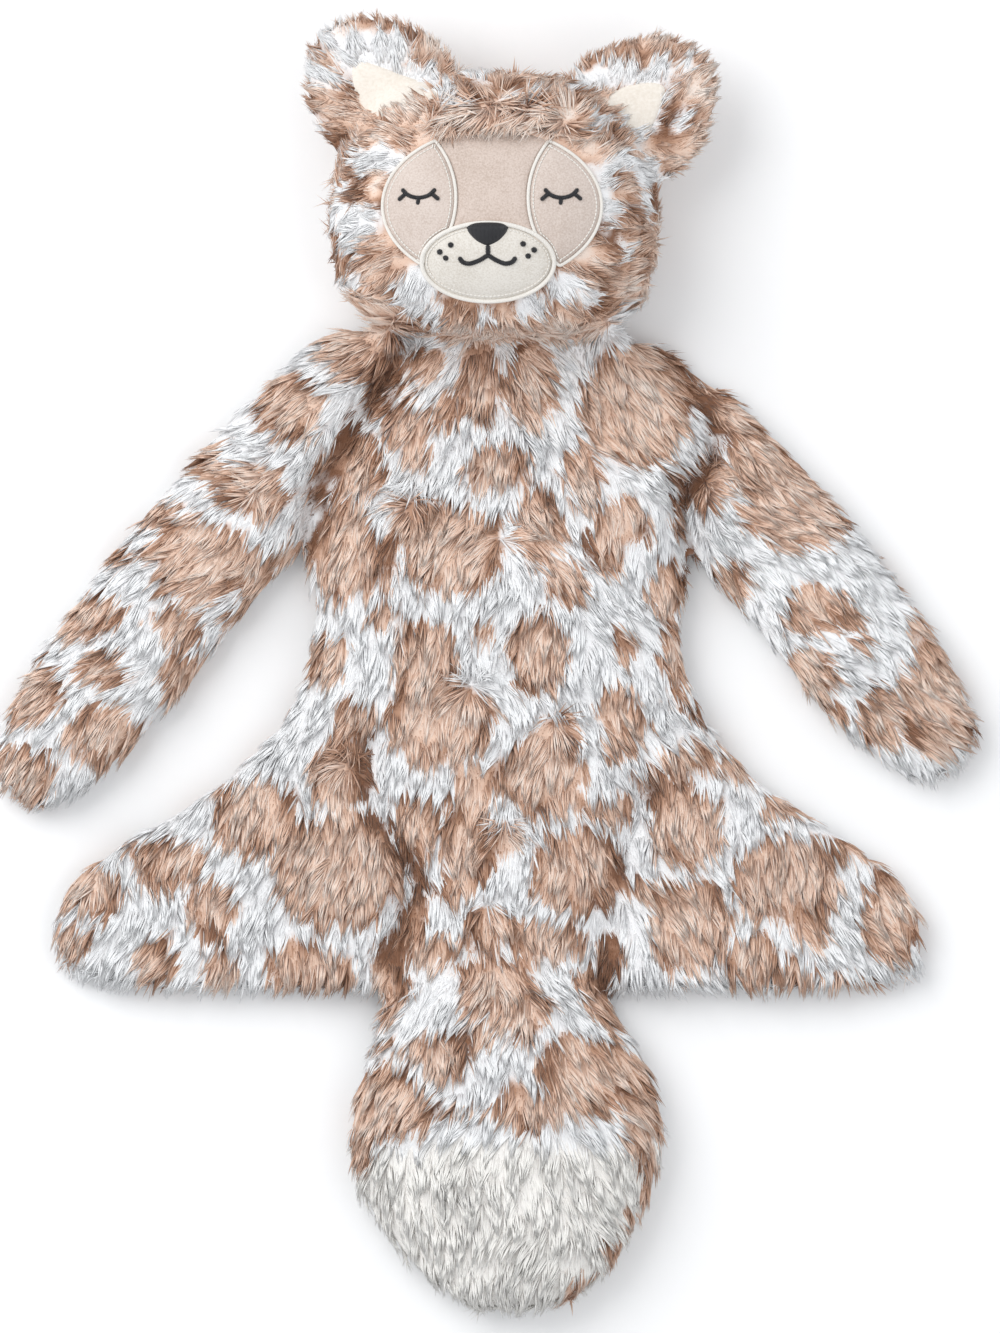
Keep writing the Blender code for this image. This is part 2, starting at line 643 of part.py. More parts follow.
def build_face(toy, face, head_front, empty):
    """Make the face panels, the piping on their seams and the stitched features."""
    face_size = (FACE_HALF_WIDTH, FACE_HALF_HEIGHT)
    muzzle_size = (MUZZLE_HALF_WIDTH, MUZZLE_HALF_HEIGHT)
    face_oval = oval_cutter(toy, "face_oval", face.middle, face_size)
    face_opening = oval_cutter(toy, "face_opening", face.middle, face_size, SEAM_GAP)
    muzzle_oval = oval_cutter(toy, "muzzle_oval", face.muzzle, muzzle_size)
    muzzle_opening = oval_cutter(toy, "muzzle_opening", face.muzzle, muzzle_size, SEAM_GAP)
    boolean(head_front, face_opening)
    boolean(head_front, muzzle_opening)

    brow = toy.piece("brow_panel", face.form.mesh.copy(), FACE_CLOTH, empty)
    solidify(brow, PANEL_WALL)
    boolean(brow, face_oval, "INTERSECT")
    boolean(brow, muzzle_opening)
    surface = face.form.tree()
    for side, side_name in ((-1.0, "left"), (1.0, "right")):
        middle = face.eye_panel_middle(side)
        name = side_name + "_eye_panel"
        circle_size = (EYE_PANEL_RADIUS, EYE_PANEL_RADIUS)
        circle = oval_cutter(toy, name + "_circle", middle, circle_size)
        boolean(brow, oval_cutter(toy, name + "_opening", middle, circle_size, SEAM_GAP))
        panel = toy.piece(name, face.form.mesh.copy(), EYE_CLOTH, empty)
        solidify(panel, PANEL_WALL)
        boolean(panel, face_oval, "INTERSECT")
        boolean(panel, circle, "INTERSECT")
        boolean(panel, muzzle_opening)
        edge = face.eye_panel_edge(side)
        edge = [on_surface(surface, point, PIPING_RADIUS + STITCH_GAP) for point in edge]
        tube(toy, side_name + "_eye_piping", edge, PIPING_RADIUS, CREAM_CLOTH, empty)
        lid = []
        for step in range(LID_STEPS + 1):
            share = step * 2.0 / LID_STEPS - 1.0
            across = EYE_OFFSET * side + EYE_HALF_WIDTH * share
            point = face.middle + Vector((across, EYE_RISE - EYE_SAG * (1.0 - share * share), 0.0))
            lid.append(on_surface(surface, point, STITCH_RADIUS + STITCH_GAP))
        stitch(toy, side_name + "_eye_stitching", lid, empty)
    build_muzzle(toy, face, muzzle_oval, surface, empty)


def build_muzzle(toy, face, muzzle_oval, surface, empty):
    """Make the raised muzzle with its piping, the nose and the mouth."""
    muzzle = toy.piece("muzzle_panel", face.form.grown(MUZZLE_RISE), CREAM_CLOTH, empty)
    solidify(muzzle, PANEL_WALL + MUZZLE_RISE)
    boolean(muzzle, muzzle_oval, "INTERSECT")
    ring = []
    reach = PIPING_RADIUS + STITCH_GAP
    for step in range(OVAL_SIDES):
        turn = math.tau * step / OVAL_SIDES
        across = (MUZZLE_HALF_WIDTH + reach) * math.cos(turn)
        up = (MUZZLE_HALF_HEIGHT + reach) * math.sin(turn)
        ring.append(on_surface(surface, face.muzzle + Vector((across, up, 0.0)), reach))
    tube(toy, "muzzle_piping", ring, PIPING_RADIUS, CREAM_CLOTH, empty, closed=True)

    nose_top = face.muzzle + Vector((0.0, NOSE_RISE, 0.0))
    outline = triangle_mesh("nose_outline", nose_top, NOSE_HALF_WIDTH, NOSE_HEIGHT, NOSE_CORNER, math.pi)
    outline = toy.cutter("nose_outline", outline)
    nose_form = face.form.grown(MUZZLE_RISE + SEAM_GAP + NOSE_THICKNESS)
    nose = toy.piece("nose_stitching", nose_form, BLACK_THREAD, empty, THREAD_ROUGHNESS)
    solidify(nose, NOSE_THICKNESS)
    boolean(nose, outline, "INTERSECT")

    muzzle_tree = face.form.tree(MUZZLE_RISE)
    lip = []
    for step in range(LIP_STEPS + 1):
        share = step * 2.0 / LIP_STEPS - 1.0
        sag = MOUTH_SAG * math.sin(math.pi * abs(share) * LIP_TURN_SHARE) * math.sqrt(abs(share))
        point = face.muzzle + Vector((MOUTH_HALF_WIDTH * share, MOUTH_RISE - sag, 0.0))
        lip.append(on_surface(muzzle_tree, point, STITCH_RADIUS + STITCH_GAP))
    stitch(toy, "mouth_stitching", lip, empty)


def build_ear(toy, side_name, turn, height, head_form, parent):
    """Make one ear: its base is cut by the head swept through the ear's fold."""
    outwards = Matrix.Rotation(turn, 3, "Z") @ Vector((0.0, 1.0, 0.0))
    seat = max((vertex.co for vertex in head_form.mesh.vertices), key=lambda corner: corner.dot(outwards))
    hinge = Vector((seat.x, seat.y, HEAD_SEAM_HEIGHT)) + outwards * (EAR_BASE_RADIUS + SEAM_GAP)
    empty = toy.joint(side_name + "_ear_fold", hinge, outwards, parent)
    half_thickness = EAR_THICKNESS * 0.5
    form = SoftForm(side_name + "_ear", EAR_SHARES, EAR_HALF_WIDTH, height, half_thickness,
                    half_thickness, HEAD_SEAM_HEIGHT)
    form.place(hinge.x, hinge.y, turn)
    front, back = sewn_panels(toy, form, TAN_FUR, empty)

    sweep = bpy.data.collections.new(side_name + "_ear_sweep")
    toy.cutters.children.link(sweep)
    axis = outwards.cross(UP).normalized()
    for angle in EAR_SWEEP_ANGLES:
        head = head_form.grown(EAR_CLEARANCE)
        swing = Matrix.Translation(hinge) @ Matrix.Rotation(-angle, 4, axis) @ Matrix.Translation(-hinge)
        head.transform(swing)
        cutter = bpy.data.objects.new(side_name + "_ear_clearance", head)
        cutter.hide_render = True
        cutter.display_type = "WIRE"
        sweep.objects.link(cutter)

    start = hinge + outwards * EAR_LINING_START
    foot = HEAD_SEAM_HEIGHT + EAR_LINING_FOOT
    wide = EAR_LINING_HALF_WIDTH + SEAM_GAP * 2.0
    high = EAR_LINING_HEIGHT + SEAM_GAP * 3.0
    opening = triangle_mesh("lining_opening", start - outwards * SEAM_GAP, wide, high,
                            EAR_LINING_CORNER, turn, foot - SEAM_GAP)
    opening = toy.cutter(side_name + "_lining_opening", opening)
    outline = triangle_mesh("lining_outline", start, EAR_LINING_HALF_WIDTH, EAR_LINING_HEIGHT,
                            EAR_LINING_CORNER, turn, foot)
    outline = toy.cutter(side_name + "_lining_outline", outline)
    lining = toy.piece(side_name + "_ear_lining", form.mesh.copy(), CREAM_CLOTH, empty)
    boolean(lining, outline, "INTERSECT")
    boolean(front, opening)
    for piece in (front, back):
        cut_by_all(piece, sweep)


def main():
    """Build the whole toy."""
    clear_scene()
    toy = Toy()
    chin_y = HEM_Y + TORSO_LENGTH - NECK_OVERLAP
    head_form = lying_form("head", HEAD_SHARES, HEAD_HALF_WIDTH, HEAD_LENGTH, HEAD_THICKNESS,
                           HEAD_SEAM_HEIGHT, round_crown=True)
    head_form.place(HEAD_X, chin_y)
    shoulders = [Shoulder(-1.0), Shoulder(1.0)]
    torso_form = build_torso(toy, shoulders, head_form)
    build_arm(toy, "left", shoulders[0], LEFT_ARM_REACH)
    build_arm(toy, "right", shoulders[1], RIGHT_ARM_REACH)
    build_tail(toy, torso_form)

    start = Vector((HEAD_X, HEM_Y, NECK_HINGE_HEIGHT))
    nape, _, _, _ = head_form.tree().ray_cast(start, Vector((0.0, 1.0, 0.0)))
    neck = toy.joint("neck_nod", nape, Vector((0.0, 1.0, 0.0)))
    head_pieces = filled_body(toy, head_form, TAN_FUR, "_stuffing", neck)
    build_face(toy, Face(head_form), head_pieces[0], neck)
    build_ear(toy, "left", LEFT_EAR_ANGLE, LEFT_EAR_HEIGHT, head_form, neck)
    build_ear(toy, "right", RIGHT_EAR_ANGLE, RIGHT_EAR_HEIGHT, head_form, neck)


if __name__ == "__main__":
    main()
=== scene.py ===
"""Visual model of the comfort blanket lovey.

The toy lies on its back and is seen from straight above. One continuous skin
of cloth is fused from the CAD solids, puffed up by a short cloth simulation
and parted at its seams into one piece for each body. Geometry Nodes plant the
long pile on each skin, sweep the piping and the embroidery and sew the
stitches. The face of short velour lies on the head.
"""

import json
import logging
import math
from collections.abc import Callable
from dataclasses import dataclass, field
from enum import Enum

import bmesh
import bpy
import numpy as np
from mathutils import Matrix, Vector
from mathutils.bvhtree import BVHTree

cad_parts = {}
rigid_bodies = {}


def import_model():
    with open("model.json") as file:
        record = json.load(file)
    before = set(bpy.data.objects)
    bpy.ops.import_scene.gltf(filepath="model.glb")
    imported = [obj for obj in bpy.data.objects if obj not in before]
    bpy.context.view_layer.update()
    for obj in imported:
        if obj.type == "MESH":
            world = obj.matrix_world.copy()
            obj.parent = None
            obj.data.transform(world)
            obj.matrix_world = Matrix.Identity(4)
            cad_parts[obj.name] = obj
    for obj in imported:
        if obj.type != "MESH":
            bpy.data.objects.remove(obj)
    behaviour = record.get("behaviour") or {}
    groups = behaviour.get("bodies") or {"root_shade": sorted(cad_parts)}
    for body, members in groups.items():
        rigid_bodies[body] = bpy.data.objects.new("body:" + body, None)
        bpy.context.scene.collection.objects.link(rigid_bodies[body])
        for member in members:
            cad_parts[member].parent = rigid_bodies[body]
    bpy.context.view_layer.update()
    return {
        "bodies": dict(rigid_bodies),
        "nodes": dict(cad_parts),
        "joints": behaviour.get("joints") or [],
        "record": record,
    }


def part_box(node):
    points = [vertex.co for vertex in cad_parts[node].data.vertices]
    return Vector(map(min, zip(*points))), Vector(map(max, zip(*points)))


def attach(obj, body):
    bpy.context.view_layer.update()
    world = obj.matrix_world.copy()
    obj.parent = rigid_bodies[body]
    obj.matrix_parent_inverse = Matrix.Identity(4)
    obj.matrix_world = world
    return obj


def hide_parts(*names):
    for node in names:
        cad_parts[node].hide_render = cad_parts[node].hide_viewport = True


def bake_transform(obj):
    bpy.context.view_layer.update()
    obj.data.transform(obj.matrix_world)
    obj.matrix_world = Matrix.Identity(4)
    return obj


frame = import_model()

LOG = logging.getLogger("lovey")
MM = 0.001
# One step of the pattern sheet in metres, and the place on it that lies at the origin.
GRID = 0.384 * MM
GRID_MIDDLE = (486.0, 662.3)
DOWN = np.array((0.0, -1.0, 0.0))
# Normals that lean lower than this belong to the back of the toy.
BACK_LEAN = -0.35
# Only the front of the head stands higher than this.
FACE_LEVEL = 40 * MM
MERGE = 0.01 * MM

Row = tuple[float, ...]


class Region(Enum):
    """The parts of the skin, one for each body."""

    TORSO = "torso"
    LEFT_ARM = "left_arm"
    RIGHT_ARM = "right_arm"
    TAIL = "tail"
    HEAD = "head"
    LEFT_EAR = "left_ear"
    RIGHT_EAR = "right_ear"


REGIONS = list(Region)
ARMS = (Region.LEFT_ARM, Region.RIGHT_ARM)
EARS = (Region.LEFT_EAR, Region.RIGHT_EAR)


def plan(x: float, y: float) -> tuple[float, float]:
    """Turn a place on the pattern sheet, 0.384 mm a step, into metres."""
    return (x - GRID_MIDDLE[0]) * GRID, (GRID_MIDDLE[1] - y) * GRID


def to_sheet(points: np.ndarray) -> np.ndarray:
    """Turn rows in metres into places on the pattern sheet."""
    return np.column_stack((points[:, 0] / GRID + GRID_MIDDLE[0], GRID_MIDDLE[1] - points[:, 1] / GRID))


def among(kinds: np.ndarray, *regions: Region) -> np.ndarray:
    """Say which vertices belong to one of the regions."""
    return np.isin(kinds, [REGIONS.index(region) for region in regions])


def evaluated(obj: bpy.types.Object) -> bpy.types.Mesh:
    """Return a plain mesh of an object with its modifiers applied.

    Args:
        obj: the object.

    Returns:
        The new mesh.
    """
    graph = bpy.context.evaluated_depsgraph_get()
    graph.update()
    return bpy.data.meshes.new_from_object(
        obj.evaluated_get(graph), preserve_all_data_layers=True, depsgraph=graph
    )


def settle(obj: bpy.types.Object) -> None:
    """Apply an object's modifiers to its mesh and remove them.

    Args:
        obj: the object.
    """
    mesh = evaluated(obj)
    obj.modifiers.clear()
    old = obj.data
    obj.data = mesh
    bpy.data.meshes.remove(old)


def grow_on(obj: bpy.types.Object, tree: bpy.types.NodeTree, values: dict[str, object]) -> None:
    """Run a Geometry Nodes tree on an object and keep what it makes as a plain mesh.

    Args:
        obj: the object whose mesh the tree starts from.
        tree: the tree to run.
        values: what each named input of the tree gets.
    """
    change = obj.modifiers.new(tree.name, "NODES")
    change.node_group = tree
    for item in tree.interface.items_tree:
        if item.in_out == "INPUT" and item.name in values:
            change[item.identifier] = values[item.name]
    settle(obj)


def report(obj: bpy.types.Object) -> None:
    """Log a finished piece and how heavy it is."""
    count = sum(len(face.vertices) - 2 for face in obj.data.polygons)
    LOG.info("%s: %d triangles", obj.name, count)


def place(name: str, mesh: bpy.types.Mesh) -> bpy.types.Object:
    """Link a mesh to the scene as an object at the origin.

    Args:
        name: the object's name.
        mesh: its mesh.

    Returns:
        The new object.
    """
    obj = bpy.data.objects.new(name, mesh)
    bpy.context.scene.collection.objects.link(obj)
    return obj


def points_of(mesh: bpy.types.Mesh) -> np.ndarray:
    """Return a mesh's vertices as rows of three.

    Args:
        mesh: the mesh.

    Returns:
        One row for each vertex, in metres.
    """
    flat = np.empty(len(mesh.vertices) * 3)
    mesh.vertices.foreach_get("co", flat)
    return flat.reshape(-1, 3)


def normals_of(mesh: bpy.types.Mesh) -> np.ndarray:
    """Return the vertex normals of a mesh as rows of three.

    Args:
        mesh: the mesh.

    Returns:
        One row for each vertex.
    """
    flat = np.empty(len(mesh.vertices) * 3)
    mesh.vertices.foreach_get("normal", flat)
    return flat.reshape(-1, 3)


def set_points(mesh: bpy.types.Mesh, points: np.ndarray) -> None:
    """Move a mesh's vertices to rows of three."""
    mesh.vertices.foreach_set("co", points.astype(np.float32).ravel())
    mesh.update()


def smooth_step(low: float, high: float, value: np.ndarray) -> np.ndarray:
    """Rise smoothly from 0 at low to 1 at high."""
    share = np.clip((value - low) / (high - low), 0, 1)
    return share * share * (3 - 2 * share)


def unit(rows: np.ndarray) -> np.ndarray:
    """Scale each row to length one."""
    length = np.linalg.norm(rows, axis=-1, keepdims=True)
    return rows / np.maximum(length, 1e-9)


def store(mesh: bpy.types.Mesh, name: str, values: np.ndarray) -> None:
    """Keep one number or one vector for each vertex under a name.

    Args:
        mesh: the mesh.
        name: the name.
        values: one value or one row for each vertex.
    """
    kind, key = ("FLOAT_VECTOR", "vector") if values.ndim == 2 else ("FLOAT", "value")
    layer = mesh.attributes.get(name) or mesh.attributes.new(name, kind, "POINT")
    layer.data.foreach_set(key, values.astype(np.float32).ravel())


def ripple(points: np.ndarray, pitch: float, seed: int, waves: int = 7, level: float = 3.2) -> np.ndarray:
    """Give smooth wandering values from about -1 to 1 from a few crossed waves.

    Args:
        points: rows of two or three coordinates in metres.
        pitch: the usual distance between crests.
        seed: what the waves are drawn from.
        waves: the number of crossed waves.
        level: what their sum is divided by.

    Returns:
        One value for each row.
    """
    rng = np.random.default_rng(seed)
    total = np.zeros(len(points))
    for _ in range(waves):
        way = unit(rng.normal(size=points.shape[1])[None])[0]
        turn = rng.uniform(0, math.tau)
        step = rng.uniform(0.6, 1.6)
        total += np.sin(points @ way * math.tau * step / pitch + turn)
    return total / level


def joined(nodes: list[bpy.types.Object]) -> bpy.types.Mesh:
    """Join copies of several meshes into one merged mesh.

    Args:
        nodes: the objects whose meshes are joined.

    Returns:
        The new mesh.
    """
    work = bmesh.new()
    for node in nodes:
        work.from_mesh(node.data)
    bmesh.ops.remove_doubles(work, verts=work.verts, dist=MERGE)
    mesh = bpy.data.meshes.new("joined")
    work.to_mesh(mesh)
    work.free()
    return mesh


def outer_shell(mesh: bpy.types.Mesh) -> None:
    """Keep only the largest connected piece of a mesh.

    Args:
        mesh: the mesh, which is changed.
    """
    work = bmesh.new()
    work.from_mesh(mesh)
    left = set(work.verts)
    best: list[bmesh.types.BMVert] = []
    while left:
        start = left.pop()
        group = [start]
        queue = [start]
        while queue:
            vert = queue.pop()
            for edge in vert.link_edges:
                other = edge.other_vert(vert)
                if other in left:
                    left.remove(other)
                    group.append(other)
                    queue.append(other)
        if len(group) > len(best):
            best = group
    keep = set(best)
    bmesh.ops.delete(work, geom=[v for v in work.verts if v not in keep], context="VERTS")
    work.to_mesh(mesh)
    work.free()


def tree_of(mesh: bpy.types.Mesh) -> BVHTree:
    """Build a search tree over a mesh's faces.

    Args:
        mesh: the mesh.

    Returns:
        The tree.
    """
    return BVHTree.FromPolygons(
        [v.co[:] for v in mesh.vertices], [p.vertices[:] for p in mesh.polygons]
    )


def segment_distance(points: np.ndarray, line: list[tuple[float, float]]) -> np.ndarray:
    """Return each point's distance in plan from an open line.

    Args:
        points: rows of coordinates in metres; only x and y count.
        line: the corners of the line in metres.

    Returns:
        One distance for each row.
    """
    best = np.full(len(points), 1.0)
    flat = points[:, :2]
    for a, b in zip(line[:-1], line[1:]):
        a, b = np.array(a), np.array(b)
        way = b - a
        share = np.clip((flat - a) @ way / (way @ way), 0, 1)
        best = np.minimum(best, np.linalg.norm(flat - a - share[:, None] * way, axis=1))
    return best


class Socket(Enum):
    """The kinds of input that a node tree of this script has."""

    GEOMETRY = "NodeSocketGeometry"
    FLOAT = "NodeSocketFloat"
    INT = "NodeSocketInt"
    MATERIAL = "NodeSocketMaterial"


class NodeMaker:
    """What every node tree of this script is built with."""

    tree: bpy.types.NodeTree

    def put(self, socket: bpy.types.NodeSocket, value: object) -> None:
        """Link a socket to another or set its value.

        Args:
            socket: the input.
            value: another node's output, or a plain value.
        """
        if isinstance(value, bpy.types.NodeSocket):
            self.tree.links.new(value, socket)
        elif socket.type == "RGBA":
            socket.default_value = (*value, 1.0)
        else:
            socket.default_value = value

    def math(self, kind: str, a: object, b: object = 0.0) -> bpy.types.NodeSocket:
        """Do one sum on numbers.

        Args:
            kind: the operation.
            a: the first number.
            b: the second one.

        Returns:
            The result.
        """
        node = self.tree.nodes.new("ShaderNodeMath")
        node.operation = kind
        self.put(node.inputs[0], a)
        self.put(node.inputs[1], b)
        return node.outputs[0]


class Graph(NodeMaker):
    """A short hand for building one Geometry Nodes tree."""

    def __init__(self, name: str, inputs: dict[str, Socket]) -> None:
        """Start a tree with named inputs and one geometry output.

        Args:
            name: the tree's name.
            inputs: the kind of each named input.
        """
        self.tree = bpy.data.node_groups.new(name, "GeometryNodeTree")
        face = self.tree.interface
        for label, kind in inputs.items():
            face.new_socket(label, in_out="INPUT", socket_type=kind.value)
        face.new_socket("Geometry", in_out="OUTPUT", socket_type="NodeSocketGeometry")
        self.start = self.tree.nodes.new("NodeGroupInput")
        self.end = self.tree.nodes.new("NodeGroupOutput")

    def add(self, kind: str, settings: dict[str, object] | None = None, **values: object) -> bpy.types.Node:
        """Add a node, set its options and fill its inputs by name.

        Args:
            kind: the node's type.
            settings: its options.
            values: its inputs, with an underscore for each space in a name.

        Returns:
            The new node.
        """
        node = self.tree.nodes.new(kind)
        for key, value in (settings or {}).items():
            setattr(node, key, value)
        for key, value in values.items():
            label = key.replace("_", " ")
            self.put(next(s for s in node.inputs if s.name == label and s.enabled), value)
        return node

    def vector(self, kind: str, a: object, b: object = None, scale: object = None) -> bpy.types.NodeSocket:
        """Do one sum on vectors.

        Args:
            kind: the operation.
            a: the first vector.
            b: the second one, if any.
            scale: the factor, if any.

        Returns:
            The result.
        """
        node = self.tree.nodes.new("ShaderNodeVectorMath")
        node.operation = kind
        self.put(node.inputs[0], a)
        if b is not None:
            self.put(node.inputs[1], b)
        if scale is not None:
            self.put(node.inputs["Scale"], scale)
        return node.outputs[0]

    def combine(self, x: object, y: object, z: object) -> bpy.types.NodeSocket:
        """Make a vector of three numbers."""
        return self.add("ShaderNodeCombineXYZ", X=x, Y=y, Z=z).outputs[0]

    def named(self, name: str, kind: str = "FLOAT") -> bpy.types.NodeSocket:
        """Read a named attribute."""
        node = self.add("GeometryNodeInputNamedAttribute", {"data_type": kind}, Name=name)
        return node.outputs[0]

    def random(self, low: float, high: float, seed: int) -> bpy.types.NodeSocket:
        """Draw a number for each point.

        Args:
            low: the least.
            high: the most.
            seed: a seed for this draw.

        Returns:
            The number.
        """
        kind = {"data_type": "FLOAT"}
        node = self.add("FunctionNodeRandomValue", kind, Min=low, Max=high, Seed=seed)
        return next(s for s in node.outputs if s.enabled)

    def close(self, geometry: bpy.types.NodeSocket) -> None:
        """End the tree with real and dressed geometry.

        Args:
            geometry: what the tree has made.
        """
        real = self.add("GeometryNodeRealizeInstances", Geometry=geometry).outputs[0]
        finish = self.start.outputs["Material"]
        dressed = self.add("GeometryNodeSetMaterial", Geometry=real, Material=finish).outputs[0]
        self.tree.links.new(dressed, self.end.inputs[0])

    def keep(self, geometry: object, name: str, value: object) -> bpy.types.NodeSocket:
        """Store a number for each point under a name.

        Args:
            geometry: the points.
            name: the name.
            value: the number.

        Returns:
            The points that carry it.
        """
        kind = {"data_type": "FLOAT", "domain": "POINT"}
        node = self.add(
            "GeometryNodeStoreNamedAttribute", kind, Geometry=geometry, Name=name, Value=value
        )
        return node.outputs[0]


@dataclass(frozen=True)
class FurFinish:
    """Long pile: white, cream or tan by lock, darkened at the root with painted shade and paler at the tip;
    the tan darkens at the rims of its spots and with painted shade in the creases.
    """

    name: str = "long_pile"
    white: Row = (0.965, 0.97, 0.975)
    cream: Row = (0.97, 0.95, 0.91)
    root_shade: Row = (0.95, 0.94, 0.94)
    # Painted shade at the root of each white lock, multiplied into its colour.
    tones: tuple[tuple[float, Row], ...] = (
        (0.0, (0.255, 0.127, 0.075)), (0.28, (0.53, 0.314, 0.214)),
        (0.58, (0.835, 0.607, 0.48)), (1.0, (0.94, 0.835, 0.755)),
    )
    root_shade_reach: float = 2.2
    tone: float = 0.715
    tone_spread: float = -0.40
    # The tan pales towards the tip: partly the pile's own paler tips, partly painted shade at the root.
    tone_rise: float = 0.36
    # How much the rims of the spots and the painted shade in the creases darken the tan.
    rim_and_crease_shade_dark: float = 0.46
    light: float = 1.03
    light_spread: float = -0.07

    def build(self) -> bpy.types.Material:
        """Make the material from the attributes that each lock carries.

        Returns:
            The material.
        """
        sheet = Shader(self.name)
        coat = sheet.attribute("coat")
        rim_and_crease_shade = sheet.attribute("rim_and_crease_shade")
        cream = sheet.attribute("cream")
        shade = sheet.attribute("shade")
        along = sheet.attribute("along")
        pale = sheet.mix(cream, self.white, self.cream)
        # Painted shade: the white darkens towards the root of each lock.
        root_shade = sheet.mix(sheet.math("MULTIPLY", along, self.root_shade_reach), self.root_shade, (1.0, 1.0, 1.0))
        pale = sheet.mix(1.0, pale, root_shade, "MULTIPLY")
        tone = sheet.math("ADD", sheet.math("MULTIPLY", shade, self.tone_spread), self.tone)
        # The tan pales towards the tip, with painted shade at the root.
        tone = sheet.math("ADD", tone, sheet.math("MULTIPLY", along, self.tone_rise))
        # Darker at the rims of the spots, and with painted shade in the creases.
        tone = sheet.math("SUBTRACT", tone, sheet.math("MULTIPLY", rim_and_crease_shade, self.rim_and_crease_shade_dark))
        warm = sheet.ramp(tone, list(self.tones))
        colour = sheet.mix(coat, pale, warm)
        value = sheet.math("ADD", sheet.math("MULTIPLY", shade, self.light_spread), self.light)
        sheet.finish(sheet.scale(colour, value), roughness=0.8, sheen=0.15, specular=0.12)
        return sheet.material


class Shader(NodeMaker):
    """A short hand for building one node material."""

    SHEEN_ROUGHNESS = 0.45

    def __init__(self, name: str) -> None:
        """Start an empty material.

        Args:
            name: the material's name.
        """
        self.material = bpy.data.materials.new(name)
        self.material.use_nodes = True
        self.tree = self.material.node_tree
        self.tree.nodes.clear()

    def node(self, kind: str) -> bpy.types.Node:
        """Add one node."""
        return self.tree.nodes.new(kind)

    def attribute(self, name: str) -> bpy.types.NodeSocket:
        """Read a named number of the piece.

        Args:
            name: the attribute.

        Returns:
            Its value.
        """
        node = self.node("ShaderNodeAttribute")
        node.attribute_name = name
        return node.outputs["Fac"]

    def mix(self, share: object, a: object, b: object, blend: str = "MIX") -> bpy.types.NodeSocket:
        """Blend two colours.

        Args:
            share: how much of the second colour.
            a: the first colour.
            b: the second one.
            blend: how they blend.

        Returns:
            The blended colour.
        """
        node = self.node("ShaderNodeMix")
        node.data_type = "RGBA"
        node.clamp_factor = True
        node.blend_type = blend
        self.put(node.inputs[0], share)
        self.put(node.inputs[6], a)
        self.put(node.inputs[7], b)
        return node.outputs[2]

    def scale(self, colour: object, value: object) -> bpy.types.NodeSocket:
        """Brighten or darken a colour by a number.

        Args:
            colour: the colour.
            value: the number.

        Returns:
            The new colour.
        """
        node = self.node("ShaderNodeVectorMath")
        node.operation = "SCALE"
        self.put(node.inputs[0], colour)
        self.put(node.inputs["Scale"], value)
        return node.outputs[0]

    def ramp(self, value: object, stops: list[tuple[float, Row]]) -> bpy.types.NodeSocket:
        """Turn a number into a colour through a few stops.

        Args:
            value: the number.
            stops: each stop's place and colour.

        Returns:
            The colour.
        """
        node = self.node("ShaderNodeValToRGB")
        self.put(node.inputs[0], value)
        band = node.color_ramp
        while len(band.elements) < len(stops):
            band.elements.new(0.5)
        for element, (place_at, colour) in zip(band.elements, stops):
            element.position = place_at
            element.color = (*colour, 1.0)
        return node.outputs[0]

    def noise(self, scale: float, detail: float) -> bpy.types.NodeSocket:
        """Give noise over object coordinates.

        Args:
            scale: its fineness.
            detail: its finer layers.

        Returns:
            A value from 0 to 1.
        """
        node = self.node("ShaderNodeTexNoise")
        self.put(node.inputs["Vector"], self.node("ShaderNodeTexCoord").outputs["Object"])
        self.put(node.inputs["Scale"], scale)
        self.put(node.inputs["Detail"], detail)
        return node.outputs[0]

    def bump(self, height: object, depth: float) -> bpy.types.NodeSocket:
        """Turn a height into a bumped normal.

        Args:
            height: the height from 0 to 1.
            depth: the depth in metres.

        Returns:
            The normal.
        """
        node = self.node("ShaderNodeBump")
        self.put(node.inputs["Strength"], 1.0)
        self.put(node.inputs["Distance"], depth)
        self.put(node.inputs["Height"], height)
        return node.outputs[0]

    def finish(
        self,
        colour: object,
        roughness: object,
        sheen: float = 0.0,
        specular: float = 0.5,
        normal: bpy.types.NodeSocket | None = None,
    ) -> None:
        """Close the material with one surface shader.

        Args:
            colour: the base colour.
            roughness: the roughness.
            sheen: the weight of the sheen.
            specular: the strength of the gloss.
            normal: the bumped normal, if any.
        """
        shader = self.node("ShaderNodeBsdfPrincipled")
        self.put(shader.inputs["Base Color"], colour)
        self.put(shader.inputs["Roughness"], roughness)
        self.put(shader.inputs["Sheen Weight"], sheen)
        self.put(shader.inputs["Sheen Roughness"], self.SHEEN_ROUGHNESS)
        self.put(shader.inputs["Specular IOR Level"], specular)
        if normal is not None:
            self.put(shader.inputs["Normal"], normal)
        out = self.node("ShaderNodeOutputMaterial")
        self.put(out.inputs["Surface"], shader.outputs[0])


@dataclass(frozen=True)
class VelourFinish:
    """Short velour with a fine speckle and soft brushed patches."""

    name: str
    colour: Row
    dark: Row
    speckle: float = 1500.0
    patches: float = 60.0
    grain_share: float = 0.75
    patch_share: float = 0.35
    stops: tuple[float, float] = (0.38, 0.66)
    depth: float = 0.25 * MM

    def build(self) -> bpy.types.Material:
        """Make the material.

        Returns:
            The material.
        """
        sheet = Shader(self.name)
        grain = sheet.math("MULTIPLY", sheet.noise(self.speckle, 2.0), self.grain_share)
        patch = sheet.math("MULTIPLY", sheet.noise(self.patches, 3.0), self.patch_share)
        share = sheet.math("ADD", grain, patch)
        colour = sheet.ramp(share, list(zip(self.stops, (self.dark, self.colour))))
        normal = sheet.bump(share, self.depth)
        sheet.finish(colour, roughness=0.85, sheen=0.3, specular=0.2, normal=normal)
        return sheet.material


